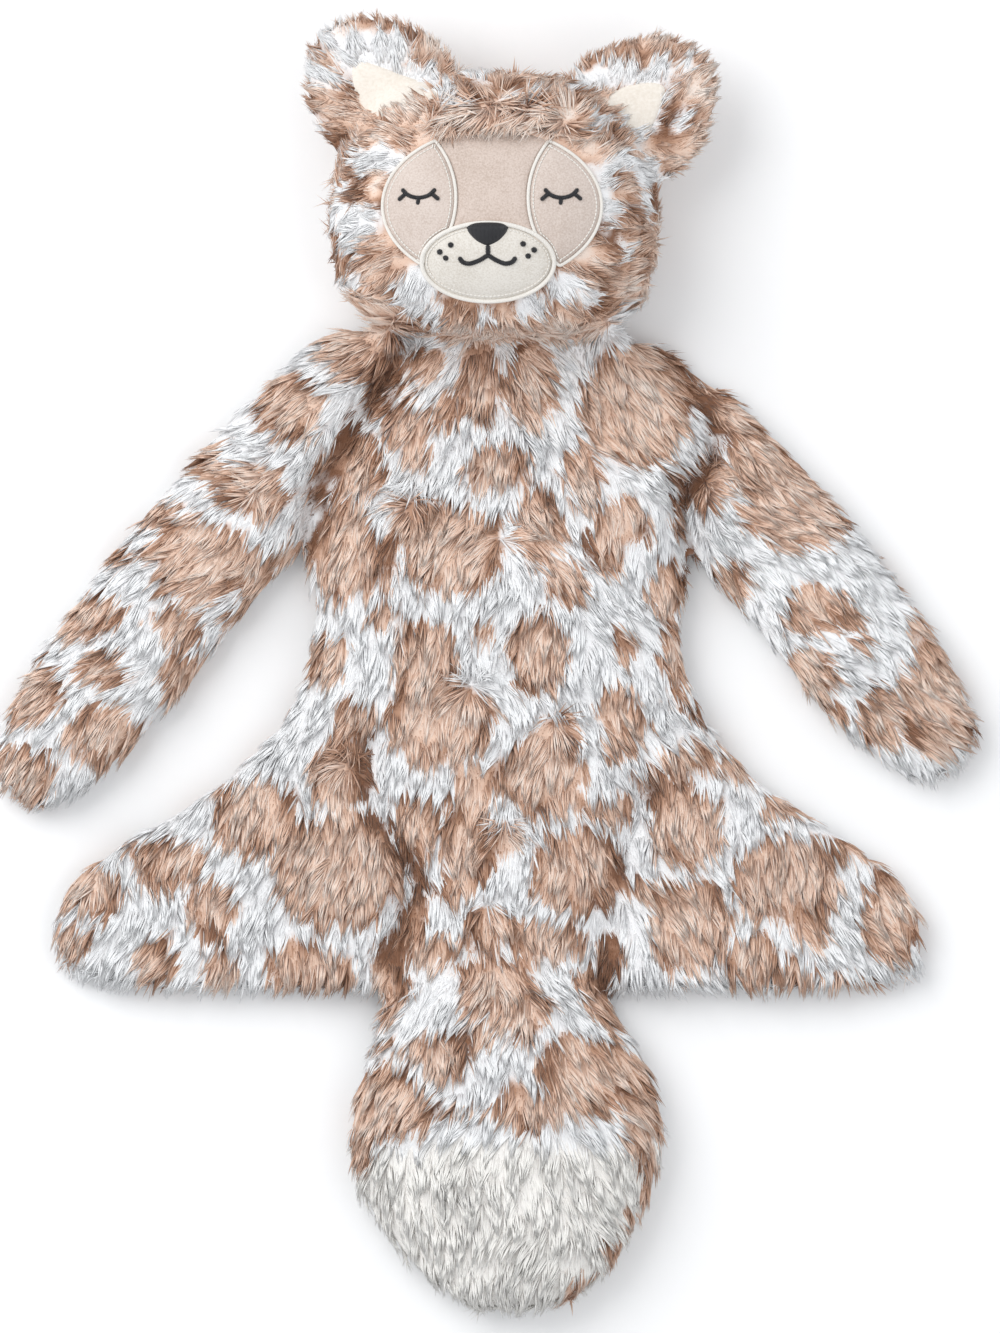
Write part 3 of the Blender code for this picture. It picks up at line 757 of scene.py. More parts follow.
@dataclass(frozen=True)
class ThreadFinish:
    """Satin embroidery thread laid side by side, paler along each strand's crest with painted sheen."""

    name: str = "satin_thread"
    colour: Row = (0.010, 0.010, 0.012)
    # A paler colour on the crest of each strand: painted sheen.
    light: Row = (0.035, 0.035, 0.040)
    strands: float = 620.0
    wander: float = 1.5
    depth: float = 0.2 * MM

    def build(self) -> bpy.types.Material:
        """Make the material.

        Returns:
            The material.
        """
        sheet = Shader(self.name)
        wave = sheet.node("ShaderNodeTexWave")
        sheet.put(wave.inputs["Vector"], sheet.node("ShaderNodeTexCoord").outputs["Object"])
        sheet.put(wave.inputs["Scale"], self.strands)
        sheet.put(wave.inputs["Distortion"], self.wander)
        strand = wave.outputs["Fac"]
        # Painted sheen: each strand is paler where its bump is highest.
        colour = sheet.mix(strand, self.colour, self.light)
        normal = sheet.bump(strand, self.depth)
        sheet.finish(colour, roughness=0.42, sheen=0.1, specular=0.45, normal=normal)
        return sheet.material


@dataclass
class Seam:
    """A seam that a limb bends along, taken from its joint."""

    region: Region
    base: Vector
    outward: Vector
    across: Vector

    @classmethod
    def of(cls, joints: dict[str, dict], name: str, region: Region, middle: Vector) -> "Seam":
        """Read a seam from a joint; outward points to the limb's middle.

        Args:
            joints: the joints by name.
            name: the joint's name.
            region: the limb.
            middle: the middle of the limb.

        Returns:
            The seam.
        """
        joint = joints[name]
        base = Vector(joint["pos_m"])
        across = Vector(joint["axis"]).normalized()
        outward = Vector((across.y, -across.x, 0)).normalized()
        if (middle - base).dot(outward) < 0:
            outward = -outward
        return cls(region, base, outward, across)

    def beyond(self, points: np.ndarray) -> np.ndarray:
        """Return how far each point lies past the seam."""
        return (points - np.array(self.base)) @ np.array(self.outward)

    def aside(self, points: np.ndarray) -> np.ndarray:
        """Return how far each point lies along the seam from its middle."""
        return (points - np.array(self.base)) @ np.array(self.across)


def panel_middle(region: Region) -> Vector:
    """Return the middle of a body's front panel, the tip's for the tail.

    Args:
        region: the body.

    Returns:
        The middle in metres.
    """
    node = {Region.TAIL: "tail_tip_front_panel"}.get(region, f"{region.value}_front_panel")
    low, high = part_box(node)
    return (low + high) / 2


# Ovals on the pattern sheet: x and y of the middle, half width and half height.
SPOTS: list[Row] = [
    (425, 368, 19, 18), (480, 382, 24, 40), (530, 385, 28, 45), (634, 408, 58, 62),
    (408, 424, 30, 26), (415, 455, 15, 20), (498, 468, 34, 28), (583, 478, 22, 38),
    (350, 468, 38, 32), (410, 506, 24, 18), (348, 552, 40, 52), (385, 610, 18, 14),
    (455, 550, 52, 46), (540, 528, 28, 42), (565, 580, 20, 22), (622, 522, 30, 26),
    (605, 550, 24, 26), (665, 592, 20, 32), (675, 655, 18, 45), (482, 632, 13, 14),
    (425, 657, 36, 42), (540, 652, 32, 46), (622, 640, 16, 18), (325, 660, 24, 26),
    (355, 722, 28, 26), (440, 722, 58, 44), (620, 722, 24, 38), (540, 775, 44, 42),
    (556, 735, 26, 22), (342, 775, 34, 32), (685, 758, 32, 16), (650, 778, 20, 14),
    (470, 790, 24, 30), (605, 805, 34, 16), (340, 868, 68, 60), (415, 825, 26, 34),
    (468, 850, 28, 44), (507, 838, 17, 20), (578, 870, 50, 44), (685, 825, 40, 44),
    (420, 880, 13, 20), (690, 925, 44, 50), (420, 948, 44, 20), (490, 925, 24, 22),
    (545, 940, 45, 24), (612, 957, 18, 22), (310, 968, 44, 28), (650, 888, 32, 11),
    (255, 815, 44, 38), (168, 862, 42, 25), (90, 888, 36, 28), (68, 938, 26, 22),
    (212, 908, 28, 34), (155, 962, 22, 28), (222, 968, 20, 22), (785, 880, 54, 46),
    (815, 932, 24, 18), (750, 958, 28, 30), (792, 972, 22, 18), (895, 915, 36, 52),
    (360, 345, 42, 36), (394, 374, 14, 22), (374, 406, 16, 22), (352, 438, 16, 22), (332, 464, 14, 20),
    (318, 492, 10, 22), (292, 408, 36, 34), (214, 470, 18, 25),
    (256, 488, 34, 32), (162, 515, 30, 15), (198, 560, 50, 44), (252, 575, 24, 32),
    (120, 562, 17, 12), (90, 615, 32, 25), (178, 625, 32, 22), (104, 672, 30, 21),
    (30, 690, 36, 38), (188, 685, 30, 36), (105, 737, 40, 32), (25, 778, 34, 34),
    (700, 372, 54, 42), (740, 415, 40, 30), (762, 458, 40, 34), (795, 508, 58, 44),
    (705, 490, 22, 22), (820, 610, 40, 26), (728, 580, 18, 26), (805, 685, 34, 42),
    (860, 645, 10, 10), (880, 715, 24, 34), (938, 700, 42, 62), (925, 620, 20, 30),
    (495, 985, 42, 34), (522, 1018, 30, 26), (592, 985, 18, 28), (446, 1055, 30, 25),
    (390, 1015, 18, 8), (385, 1045, 28, 9), (385, 1105, 58, 38), (355, 1148, 26, 20),
    (530, 1105, 40, 22), (590, 1075, 55, 40), (642, 1110, 24, 62), (583, 1118, 11, 10),
    (657, 1190, 14, 50), (622, 1262, 24, 26), (585, 1288, 24, 18),
    (287, 560, 14, 32), (242, 626, 11, 28), (150, 748, 14, 20), (692, 605, 14, 56), (704, 692, 13, 48),
    (738, 764, 24, 18), (392, 978, 20, 32), (485, 1030, 22, 14), (455, 893, 28, 10), (785, 812, 38, 12),
    (860, 850, 42, 11), (878, 985, 40, 10), (712, 470, 24, 22), (395, 1072, 20, 10),
    (447, 412, 14, 22), (680, 500, 12, 36), (389, 560, 10, 40), (170, 724, 10, 22), (206, 668, 12, 22),
    (832, 716, 15, 18), (612, 1016, 12, 34), (438, 1112, 22, 8), (414, 914, 16, 24), (232, 640, 10, 24),
    (138, 772, 12, 16), (372, 1120, 20, 30), (640, 1230, 16, 30),
]
HEAD_PATCHES: list[Row] = [
    (378, 163, 26, 14), (354, 222, 22, 22), (414, 292, 20, 22), (620, 166, 32, 12),
    (610, 208, 9, 22), (562, 288, 24, 14), (530, 308, 16, 14), (345, 285, 16, 14),
    (368, 49, 45, 25), (410, 75, 34, 16), (328, 77, 22, 13), (446, 92, 15, 9),
    (622, 74, 55, 14), (660, 66, 23, 13), (640, 112, 26, 32), (650, 175, 18, 14),
    (655, 95, 22, 10), (588, 78, 24, 14), (476, 78, 12, 8), (628, 320, 14, 18),
    (346, 148, 16, 6), (338, 190, 12, 5), (350, 250, 14, 6), (436, 312, 11, 12), (486, 318, 9, 10),
    (592, 302, 12, 9), (628, 254, 7, 14), (644, 206, 8, 16), (604, 122, 14, 8), (452, 104, 10, 6),
    (524, 96, 12, 7), (690, 62, 9, 16), (684, 118, 8, 14), (318, 128, 10, 14), (470, 296, 8, 8),
]
FACE_MIDDLE = (492.0, 208.0)
FACE_HALF = (109.0, 76.0)
MUZZLE_MIDDLE = (488.0, 264.0)
MUZZLE_HALF = (66.0, 39.0)
NOSE_OUTLINE: list[Row] = [
    (467, 229), (474, 225), (488, 224), (502, 225), (508, 229), (506, 236), (499, 244), (490, 249),
    (485, 249), (476, 244), (469, 236),
]
MOUTH_LINES: list[list[Row]] = [
    [(488, 247), (488, 257)],
    [(459, 259), (463, 264), (470, 265.5), (480, 262), (488, 257)],
    [(516, 259), (512, 264), (505, 265.5), (496, 262), (488, 257)],
]
WHISKER_DOTS: list[Row] = [(451, 247), (440, 254), (446, 260), (523, 246), (534, 252), (528, 258)]
LEFT_LINING: list[Row] = [
    (352, 70), (362, 63), (378, 67), (402, 76), (424, 84), (440, 95), (428, 104), (405, 112),
    (386, 119), (368, 114), (356, 98),
]
RIGHT_LINING: list[Row] = [
    (602, 98), (618, 90), (636, 85), (655, 84), (665, 90), (662, 104), (655, 122), (645, 136),
    (632, 132), (614, 116),
]
# Places that the pile lies away from: x, y, reach on the pattern sheet, and strength.
WHORLS: list[Row] = [
    (500, 540, 32, 1.3), (410, 504, 24, 1.6), (470, 690, 26, 1.5), (350, 770, 26, 1.6),
    (555, 725, 22, 1.2), (390, 330, 30, 1.8), (610, 330, 34, 1.5), (705, 485, 22, 1.6),
    (505, 830, 22, 1.2), (490, 905, 24, 1.0), (250, 495, 24, 1.0), (565, 120, 22, 1.6),
    (500, 100, 26, 1.2), (440, 105, 22, 1.0),
]


@dataclass(frozen=True)
class Crease:
    """A line along which the cloth folds in."""

    line: tuple[tuple[float, float], ...]
    depth: float

    def nearness(self, points: np.ndarray, width: float) -> np.ndarray:
        """Return 1 on the line, falling to nothing a few widths away."""
        reach = segment_distance(points, [plan(*corner) for corner in self.line])
        return np.exp(-((reach / width) ** 2))


CREASES: list[Crease] = [
    Crease(((416, 334), (386, 385), (364, 421), (317, 489), (312, 540)), 11 * MM),
    Crease(((664, 330), (700, 400), (713, 440), (706, 472), (684, 495), (687, 552)), 11 * MM),
    Crease(((370, 740), (367, 794), (392, 838), (415, 881), (387, 965)), 6.5 * MM),
    Crease(((642, 796), (625, 850), (617, 881), (603, 979)), 6.5 * MM),
]


@dataclass
class CoatPattern:
    """Tan spots on white, and white patches on the tan head."""

    seed: int = 7
    back_tries: int = 3000
    back_field: tuple[Row, Row] = ((0, 980), (300, 1320))
    back_size: Row = (18, 46)
    back_height: Row = (0.75, 1.2)
    back_gap: float = 3
    edge_wander: float = 1.6 * MM
    wander_pitches: Row = (16 * MM, 7 * MM)
    fine_wander: float = 0.6
    carry: float = 2.4 * MM
    shrink: float = 0.4 * MM
    soft_edge: float = 2.0 * MM
    outside: float = -0.05
    tip_at: float = 1135
    tip_fade: float = 6 * MM
    tip_wander: float = 2 * MM
    rim_width: float = 2.6 * MM
    rim_level: float = 0.75
    rim_swing: float = 0.6
    rim_pitch: float = 24 * MM
    mottle_head: float = 0.55
    mottle: float = 0.25
    mottle_pitch: float = 17 * MM
    # Painted shade that darkens the tan along the creases.
    crease_painted_shade: float = 1.1
    crease_width: float = 6 * MM
    head_fade: float = 0.16

    def inside(self, points: np.ndarray, rows: list[Row], seed: int) -> np.ndarray:
        """Return how deep each point lies in the ovals, in metres.

        Args:
            points: rows of coordinates in metres.
            rows: middle and half sizes of each oval on the pattern sheet.
            seed: what the wandering edge is drawn from.

        Returns:
            One depth for each row, below zero outside the ovals.
        """
        best = np.full(len(points), self.outside)
        for x, y, wide, high in rows:
            mid = np.array(plan(x, y))
            half = np.array((wide, high)) * GRID
            reach = np.linalg.norm((points[:, :2] - mid) / half, axis=1)
            best = np.maximum(best, (1 - reach) * half.min())
        coarse, fine = self.wander_pitches
        wander = ripple(points, coarse, seed) + self.fine_wander * ripple(points, fine, seed + 1)
        return best + wander * self.edge_wander - self.shrink

    def scattered(self) -> list[Row]:
        """Draw the ovals of the hidden back from a fixed seed.

        Returns:
            Middle and half sizes of each oval.
        """
        rng = np.random.default_rng(self.seed)
        rows: list[Row] = []
        across, along = self.back_field
        for _ in range(self.back_tries):
            x, y = rng.uniform(*across), rng.uniform(*along)
            size = rng.uniform(*self.back_size)
            if all(math.hypot(x - r[0], y - r[1]) > size + r[2] + self.back_gap for r in rows):
                rows.append((x, y, size, size * rng.uniform(*self.back_height)))
        return rows

    def apply(self, mesh: bpy.types.Mesh, kinds: np.ndarray, nap: np.ndarray) -> None:
        """Store coat, cream, and the darkening at the rims of the spots with painted shade in the creases,
        on the skin's vertices.

        Args:
            mesh: the fused skin.
            kinds: the index of each vertex's region.
            nap: the way that the pile lies, which carries the colour along.
        """
        points = points_of(mesh) + nap * self.carry
        front = normals_of(mesh)[:, 2] > BACK_LEAN
        head = among(kinds, Region.HEAD, *EARS)
        tail = among(kinds, Region.TAIL)
        spots = np.where(
            front, self.inside(points, SPOTS, 3), self.inside(points, self.scattered(), 5)
        )
        depth = np.where(head, -self.inside(points, HEAD_PATCHES, 9), spots)
        tip = plan(0, self.tip_at)[1] - points[:, 1] + self.tip_wander * ripple(points, 30 * MM, 12)
        tail_tip = smooth_step(0, self.tip_fade, tip)
        coat = smooth_step(-self.soft_edge, self.soft_edge, depth)
        store(mesh, "coat", np.where(tail & ~front, coat * (1 - tail_tip), coat))
        store(mesh, "rim_and_crease_shade", self.rim_and_crease_shade(points, depth, head))
        store(mesh, "cream", np.where(tail, tail_tip, 0.0))

    def rim_and_crease_shade(self, points: np.ndarray, depth: np.ndarray, head: np.ndarray) -> np.ndarray:
        """Return how dark the tan is: at the rims of the spots, in patches, and in the creases as painted
        shade.

        Args:
            points: rows of coordinates in metres.
            depth: how deep each point lies in the tan.
            head: true on the head and the ears.

        Returns:
            One value for each row.
        """
        patchy = self.rim_level + self.rim_swing * ripple(points, self.rim_pitch, 31)
        rim_and_crease_shade = patchy * np.exp(-(((depth - self.soft_edge) / self.rim_width) ** 2))
        mottle = np.where(head, self.mottle_head, self.mottle)
        rim_and_crease_shade += mottle * ripple(points, self.mottle_pitch, 33) - np.where(head, self.head_fade, 0.0)
        # Painted shade along the creases of the shoulders and hips.
        for crease in CREASES:
            rim_and_crease_shade += self.crease_painted_shade * crease.nearness(points, self.crease_width)
        return rim_and_crease_shade


SEAM_JOINTS: dict[Region, str] = {
    Region.LEFT_ARM: "left_shoulder_fold", Region.RIGHT_ARM: "right_shoulder_fold",
    Region.TAIL: "tail_fold", Region.HEAD: "neck_nod",
    Region.LEFT_EAR: "left_ear_fold", Region.RIGHT_EAR: "right_ear_fold",
}
CLOTH: dict[str, object] = {
    "quality": 4, "mass": 0.3, "tension_stiffness": 8, "compression_stiffness": 8,
    "bending_stiffness": 0.3, "use_pressure": True, "uniform_pressure_force": 3.5,
    "vertex_group_mass": "held",
}


@dataclass
class Skin:
    """The cloth of the whole toy as one continuous surface."""

    frame: dict
    voxel: float = 4.2 * MM
    frames: int = 16
    most_puff: float = 5 * MM
    crease_width: float = 7 * MM
    crease_above: float = 9 * MM
    held_below: float = 4 * MM
    held_width: float = 2.5 * MM
    ear_wide: float = 2.8
    ear_long: float = 0.6
    wide: float = 1.5
    long: float = 1.5
    long_ahead: float = 1.4
    shoulder_start: float = -5 * MM
    shoulder_half: float = 32 * MM
    lift: float = 3 * MM
    face_sink: float = 3 * MM

    def __post_init__(self) -> None:
        """Read the seams and the solids of each body."""
        nodes = self.frame["nodes"]
        joints = {j["name"]: j for j in self.frame["record"]["behaviour"]["joints"]}
        bodies = self.frame["record"]["behaviour"]["bodies"]
        skip = ("stitching", "piping")
        self.solids = {
            region: [nodes[n] for n in bodies[region.value] if not n.endswith(skip)]
            for region in REGIONS
        }
        self.seams = {
            region: Seam.of(joints, name, region, panel_middle(region))
            for region, name in SEAM_JOINTS.items()
        }

    def build(self) -> bpy.types.Object:
        """Fuse, puff, crease and mark the skin.

        Returns:
            The skin in one piece.
        """
        every = [node for nodes in self.solids.values() for node in nodes]
        obj = place("skin", joined(every))
        change = obj.modifiers.new("Remesh", "REMESH")
        change.mode = "VOXEL"
        change.voxel_size = self.voxel
        settle(obj)
        outer_shell(obj.data)
        smooth = obj.modifiers.new("Smooth", "SMOOTH")
        smooth.factor = 0.5
        smooth.iterations = 3
        settle(obj)
        self.crease(obj.data)
        self.puff(obj)
        finer = obj.modifiers.new("Finer", "SUBSURF")
        finer.levels = 1
        finer.render_levels = 1
        settle(obj)
        self.lay_down(obj.data)
        LOG.info("skin: %d faces", len(obj.data.polygons))
        return obj

    def crease(self, mesh: bpy.types.Mesh) -> None:
        """Draw the skin in along the creases of the shoulders and hips.

        Args:
            mesh: the skin.
        """
        points = points_of(mesh)
        for crease in CREASES:
            dip = crease.nearness(points, self.crease_width) * crease.depth
            points[:, 2] -= np.where(points[:, 2] > self.crease_above, dip, 0)
        set_points(mesh, points)

    def puff(self, obj: bpy.types.Object) -> None:
        """Blow the cloth up a little between its held seams.

        Args:
            obj: the skin.
        """
        points = points_of(obj.data)
        held = points[:, 2] < self.held_below
        for crease in CREASES:
            held |= crease.nearness(points, self.held_width) > math.exp(-1)
        for seam in self.seams.values():
            held |= np.abs(seam.beyond(points)) < self.held_width
        group = obj.vertex_groups.new(name="held")
        group.add([int(i) for i in np.flatnonzero(held)], 1.0, "REPLACE")
        cloth = obj.modifiers.new("Cloth", "CLOTH")
        for key, value in CLOTH.items():
            setattr(cloth.settings, key, value)
        cloth.settings.effector_weights.gravity = 0
        cloth.collision_settings.use_collision = False
        cloth.point_cache.frame_start = 1
        cloth.point_cache.frame_end = self.frames
        for step in range(1, self.frames + 1):
            bpy.context.scene.frame_set(step)
        settle(obj)
        bpy.context.scene.frame_set(1)
        obj.vertex_groups.clear()
        moved = points_of(obj.data) - points
        size = np.linalg.norm(moved, axis=1, keepdims=True)
        LOG.info("puff: largest %.1f mm", size.max() / MM)
        moved *= np.minimum(1, self.most_puff / np.maximum(size, 1e-9))
        set_points(obj.data, points + moved)

    def spread(self, mesh: bpy.types.Mesh, kinds: np.ndarray) -> None:
        """Let the cloth stand out sideways, most of all at the ears.

        Args:
            mesh: the skin.
            kinds: the index of each vertex's region.
        """
        ears = among(kinds, *EARS)
        normals = normals_of(mesh)
        wide = np.where(ears, self.ear_wide, self.wide) * MM
        long = np.where(ears, self.ear_long, self.long + self.long_ahead * normals[:, 1]) * MM
        moves = normals * np.column_stack((wide, long, np.zeros(len(wide))))
        set_points(mesh, points_of(mesh) + moves)

    def lay_down(self, mesh: bpy.types.Mesh) -> None:
        """Raise the back by the thickness of the pile that it lies on.

        Args:
            mesh: the skin.
        """
        points = points_of(mesh)
        points[:, 2] += self.lift * (1 - np.clip(points[:, 2] / (3 * self.lift), 0, 1))
        set_points(mesh, points)

    def kinds(self, mesh: bpy.types.Mesh) -> np.ndarray:
        """Return the index of the region that each vertex belongs to.

        Args:
            mesh: the skin.

        Returns:
            One index for each vertex.
        """
        points = points_of(mesh)
        reach = np.full((len(REGIONS), len(points)), 1.0)
        for row, region in enumerate(REGIONS):
            tree = tree_of(joined(self.solids[region]))
            reach[row] = [tree.find_nearest(p)[3] for p in points]
        best = reach.argmin(axis=0)
        for region in ARMS:
            seam = self.seams[region]
            past = seam.beyond(points) > self.shoulder_start
            near = np.abs(seam.aside(points)) < self.shoulder_half
            best[past & near & among(best, Region.TORSO)] = REGIONS.index(region)
        return best


HALVINGS = 24
CURVE_STEPS = 24
SMOOTHINGS = 6


def oval(x: float, y: float, middle: Row, half: Row) -> float:
    """Return below zero inside an oval of the pattern sheet."""
    return math.hypot((x - middle[0]) / half[0], (y - middle[1]) / half[1]) - 1


def cut_ring(centre: Row, test: Callable[[float, float], float], count: int) -> np.ndarray:
    """Trace a closed outline round a point.

    Args:
        centre: a point inside it, on the pattern sheet.
        test: below zero inside the outline.
        count: the number of corners.

    Returns:
        Rows of two on the pattern sheet.
    """
    rows = []
    for turn in np.linspace(0, math.tau, count, endpoint=False):
        way = np.array((math.cos(turn), math.sin(turn)))
        low, high = 0.0, 1.0
        while test(*(centre + way * high)) < 0:
            low, high = high, high + 2
        for _ in range(HALVINGS):
            half = (low + high) / 2
            if test(*(centre + way * half)) < 0:
                low = half
            else:
                high = half
        rows.append(centre + way * low)
    return np.array(rows)


def inward(ring: np.ndarray, reach: float) -> np.ndarray:
    """Move a closed outline inwards by an even distance.

    Args:
        ring: the outline.
        reach: the distance.

    Returns:
        The new outline.
    """
    way = unit(np.roll(ring, -1, axis=0) - np.roll(ring, 1, axis=0))
    side = np.column_stack((-way[:, 1], way[:, 0]))
    side *= np.sign((side * (ring.mean(axis=0) - ring)).sum())
    return ring + side * reach


def curve(corners: list[Row], step: float, closed: bool = False) -> np.ndarray:
    """Draw a smooth line through corners with even steps.

    Args:
        corners: rows of two on the pattern sheet.
        step: the distance between the points of the result.
        closed: whether the line ends where it starts.

    Returns:
        Rows of two; a closed line doesn't repeat its start.
    """
    knots = np.array(corners, float)
    if closed:
        knots = np.vstack((knots[-1], knots, knots[0], knots[1]))
    else:
        knots = np.vstack((2 * knots[0] - knots[1], knots, 2 * knots[-1] - knots[-2]))
    rows = []
    for a, b, c, d in zip(knots, knots[1:], knots[2:], knots[3:]):
        turn, twist = 2 * a - 5 * b + 4 * c - d, 3 * b - a - 3 * c + d
        for t in np.linspace(0, 1, CURVE_STEPS, endpoint=False):
            rows.append(0.5 * (2 * b + (c - a) * t + turn * t * t + twist * t**3))
    rows.append(knots[-2])
    rows = np.array(rows)
    reach = np.concatenate(([0], np.cumsum(np.linalg.norm(np.diff(rows, axis=0), axis=1))))
    count = max(4, int(round(reach[-1] / step)))
    at = np.linspace(0, reach[-1], count + 1)
    even = np.column_stack([np.interp(at, reach, rows[:, k]) for k in (0, 1)])
    return even[:-1] if closed else even


def face_out(mesh: bpy.types.Mesh) -> None:
    """Point the faces of closed shapes outwards and shade them smooth.

    Args:
        mesh: the mesh of the shapes.
    """
    work = bmesh.new()
    work.from_mesh(mesh)
    bmesh.ops.recalc_face_normals(work, faces=work.faces)
    work.to_mesh(mesh)
    work.free()
    mesh.polygons.foreach_set("use_smooth", [True] * len(mesh.polygons))


class Surface:
    """The top of the skin, to lay flat pieces on."""

    ABOVE = 0.3

    def __init__(self, mesh: bpy.types.Mesh) -> None:
        """Build a search tree over the skin."""
        self.tree = tree_of(mesh)

    def height(self, x: float, y: float) -> float:
        """Return the height of the skin at a place in metres."""
        hit = self.tree.ray_cast(Vector((x, y, self.ABOVE)), Vector((0, 0, -1)))[0]
        return hit.z if hit is not None else 0.0

    def lay(self, rows: np.ndarray) -> np.ndarray:
        """Lay rows of the pattern sheet on the skin, in metres."""
        places = [plan(x, y) for x, y in rows]
        return np.array([(x, y, self.height(x, y)) for x, y in places])

    def trace(self, paths: list[np.ndarray], lift: float, closed: bool) -> list[np.ndarray]:
        """Lay whole paths a little above the skin and even out their heights.

        Args:
            paths: rows of two on the pattern sheet for each path.
            lift: how far above the skin they run.
            closed: whether each path ends where it starts.

        Returns:
            Rows of three in metres for each path.
        """
        lines = [self.lay(path) + (0, 0, lift) for path in paths]
        for line in lines:
            line[:, 2] = smoothed(line[:, 2], closed)
        return lines


@dataclass
class Panel:
    """A crowned patch of short cloth with its edge drawn in."""

    name: str
    ring: np.ndarray
    centre: Row
    lift: float
    crown: float
    drop: float = 1.4 * MM
    skirt: float = 4 * MM
    rings: int = 26
    edge_power: int = 14

    def build(self, surface: Surface) -> bpy.types.Object:
        """Lay the patch on the skin and close it underneath.

        Args:
            surface: the skin to lay it on.

        Returns:
            The new object.
        """
        middle = np.array(self.centre)
        points = [surface.lay(middle[None])[0] + (0, 0, self.lift + self.crown)]
        count = len(self.ring)
        shares = np.sin(np.linspace(0, math.pi / 2, self.rings + 1))[1:]
        for share in shares:
            row = surface.lay(middle + share * (self.ring - middle))
            row[:, 2] += self.lift + self.crown * (1 - share**2) - self.drop * share**self.edge_power
            points.extend(row)
        low = surface.lay(self.ring)
        low[:, 2] -= self.skirt
        points.extend(low)
        base = surface.lay(middle[None])[0] - (0, 0, self.skirt)
        points.append(base)
        faces: list[tuple[int, ...]] = []
        for k in range(count):
            n = (k + 1) % count
            faces.append((0, 1 + k, 1 + n))
            for r in range(self.rings):
                a = 1 + r * count
                faces.append((a + k, a + count + k, a + count + n, a + n))
            last = 1 + self.rings * count
            faces.append((len(points) - 1, last + n, last + k))
        mesh = bpy.data.meshes.new(self.name)
        mesh.from_pydata(np.array(points).tolist(), [], faces)
        face_out(mesh)
        return place(self.name, mesh)


class CordTree:
    """The Geometry Nodes tree that sweeps a flattened tube along the lines of a mesh."""

    def build(self) -> bpy.types.NodeTree:
        """Build the tree; each point's girth swells or thins the tube.

        Returns:
            The tree.
        """
        graph = Graph("cord", {
            "Geometry": Socket.GEOMETRY, "Radius": Socket.FLOAT, "Flat": Socket.FLOAT,
            "Sides": Socket.INT, "Material": Socket.MATERIAL,
        })
        start = graph.start.outputs
        line = graph.add("GeometryNodeMeshToCurve", Mesh=start["Geometry"]).outputs[0]
        line = graph.add("GeometryNodeSetCurveNormal", {"mode": "Z_UP"}, Curve=line).outputs[0]
        ring = graph.add(
            "GeometryNodeCurvePrimitiveCircle", Resolution=start["Sides"], Radius=1.0
        ).outputs[0]
        oval_ring = graph.add(
            "GeometryNodeTransform", Geometry=ring, Scale=graph.combine(1.0, start["Flat"], 1.0)
        ).outputs[0]
        girth = graph.math("MULTIPLY", start["Radius"], graph.named("girth"))
        tube = graph.add(
            "GeometryNodeCurveToMesh", Curve=line, Profile_Curve=oval_ring, Scale=girth, Fill_Caps=True
        ).outputs[0]
        graph.close(tube)
        return graph.tree


class StitchTree:
    """The Geometry Nodes tree that sews a row of stitches along the lines of a mesh."""

    def build(self) -> bpy.types.NodeTree:
        """Build the tree.

        Returns:
            The tree.
        """
        graph = Graph("stitch_row", {
            "Geometry": Socket.GEOMETRY, "Pitch": Socket.FLOAT, "Length": Socket.FLOAT,
            "Radius": Socket.FLOAT, "Material": Socket.MATERIAL,
        })
        start = graph.start.outputs
        line = graph.add("GeometryNodeMeshToCurve", Mesh=start["Geometry"]).outputs[0]
        spots = graph.add(
            "GeometryNodeCurveToPoints", {"mode": "LENGTH"}, Curve=line, Length=start["Pitch"]
        ).outputs
        turn = graph.add(
            "FunctionNodeAlignRotationToVector", {"axis": "Z"}, Vector=spots["Tangent"]
        ).outputs[0]
        stitch = graph.add("GeometryNodeMeshUVSphere", Segments=8, Rings=6, Radius=0.5).outputs["Mesh"]
        wide = graph.math("MULTIPLY", start["Radius"], 2.0)
        planted = graph.add(
            "GeometryNodeInstanceOnPoints", Points=spots["Points"], Instance=stitch, Rotation=turn,
            Scale=graph.combine(wide, wide, start["Length"]),
        ).outputs[0]
        graph.close(planted)
        return graph.tree


def draw_lines(name: str, lines: list[np.ndarray], closed: bool) -> bpy.types.Object:
    """Make an object of bare edges from rows of points.

    Args:
        name: the object's name.
        lines: rows of three in metres, one array for each line.
        closed: whether each line ends where it starts.

    Returns:
        The new object.
    """
    edges: list[tuple[int, int]] = []
    base = 0
    for line in lines:
        count = len(line)
        steps = range(count if closed else count - 1)
        edges.extend((base + k, base + (k + 1) % count) for k in steps)
        base += count
    mesh = bpy.data.meshes.new(name)
    mesh.from_pydata(np.vstack(lines).tolist(), edges, [])
    return place(name, mesh)


@dataclass
class StitchRow:
    """A row of stitches along closed lines on the skin."""

    name: str
    paths: list[np.ndarray]
    lift: float
    pitch: float = 1.5 * MM
    length: float = 1.45 * MM
    radius: float = 0.3 * MM

    def build(
        self, surface: Surface, tree: bpy.types.NodeTree, finish: bpy.types.Material
    ) -> bpy.types.Object:
        """Sew the row.

        Args:
            surface: the skin to sew it on.
            tree: the tree that plants the stitches.
            finish: the thread.

        Returns:
            The new object.
        """
        obj = draw_lines(self.name, surface.trace(self.paths, self.lift, True), True)
        grow_on(obj, tree, {
            "Pitch": self.pitch, "Length": self.length, "Radius": self.radius, "Material": finish,
        })
        face_out(obj.data)
        return obj


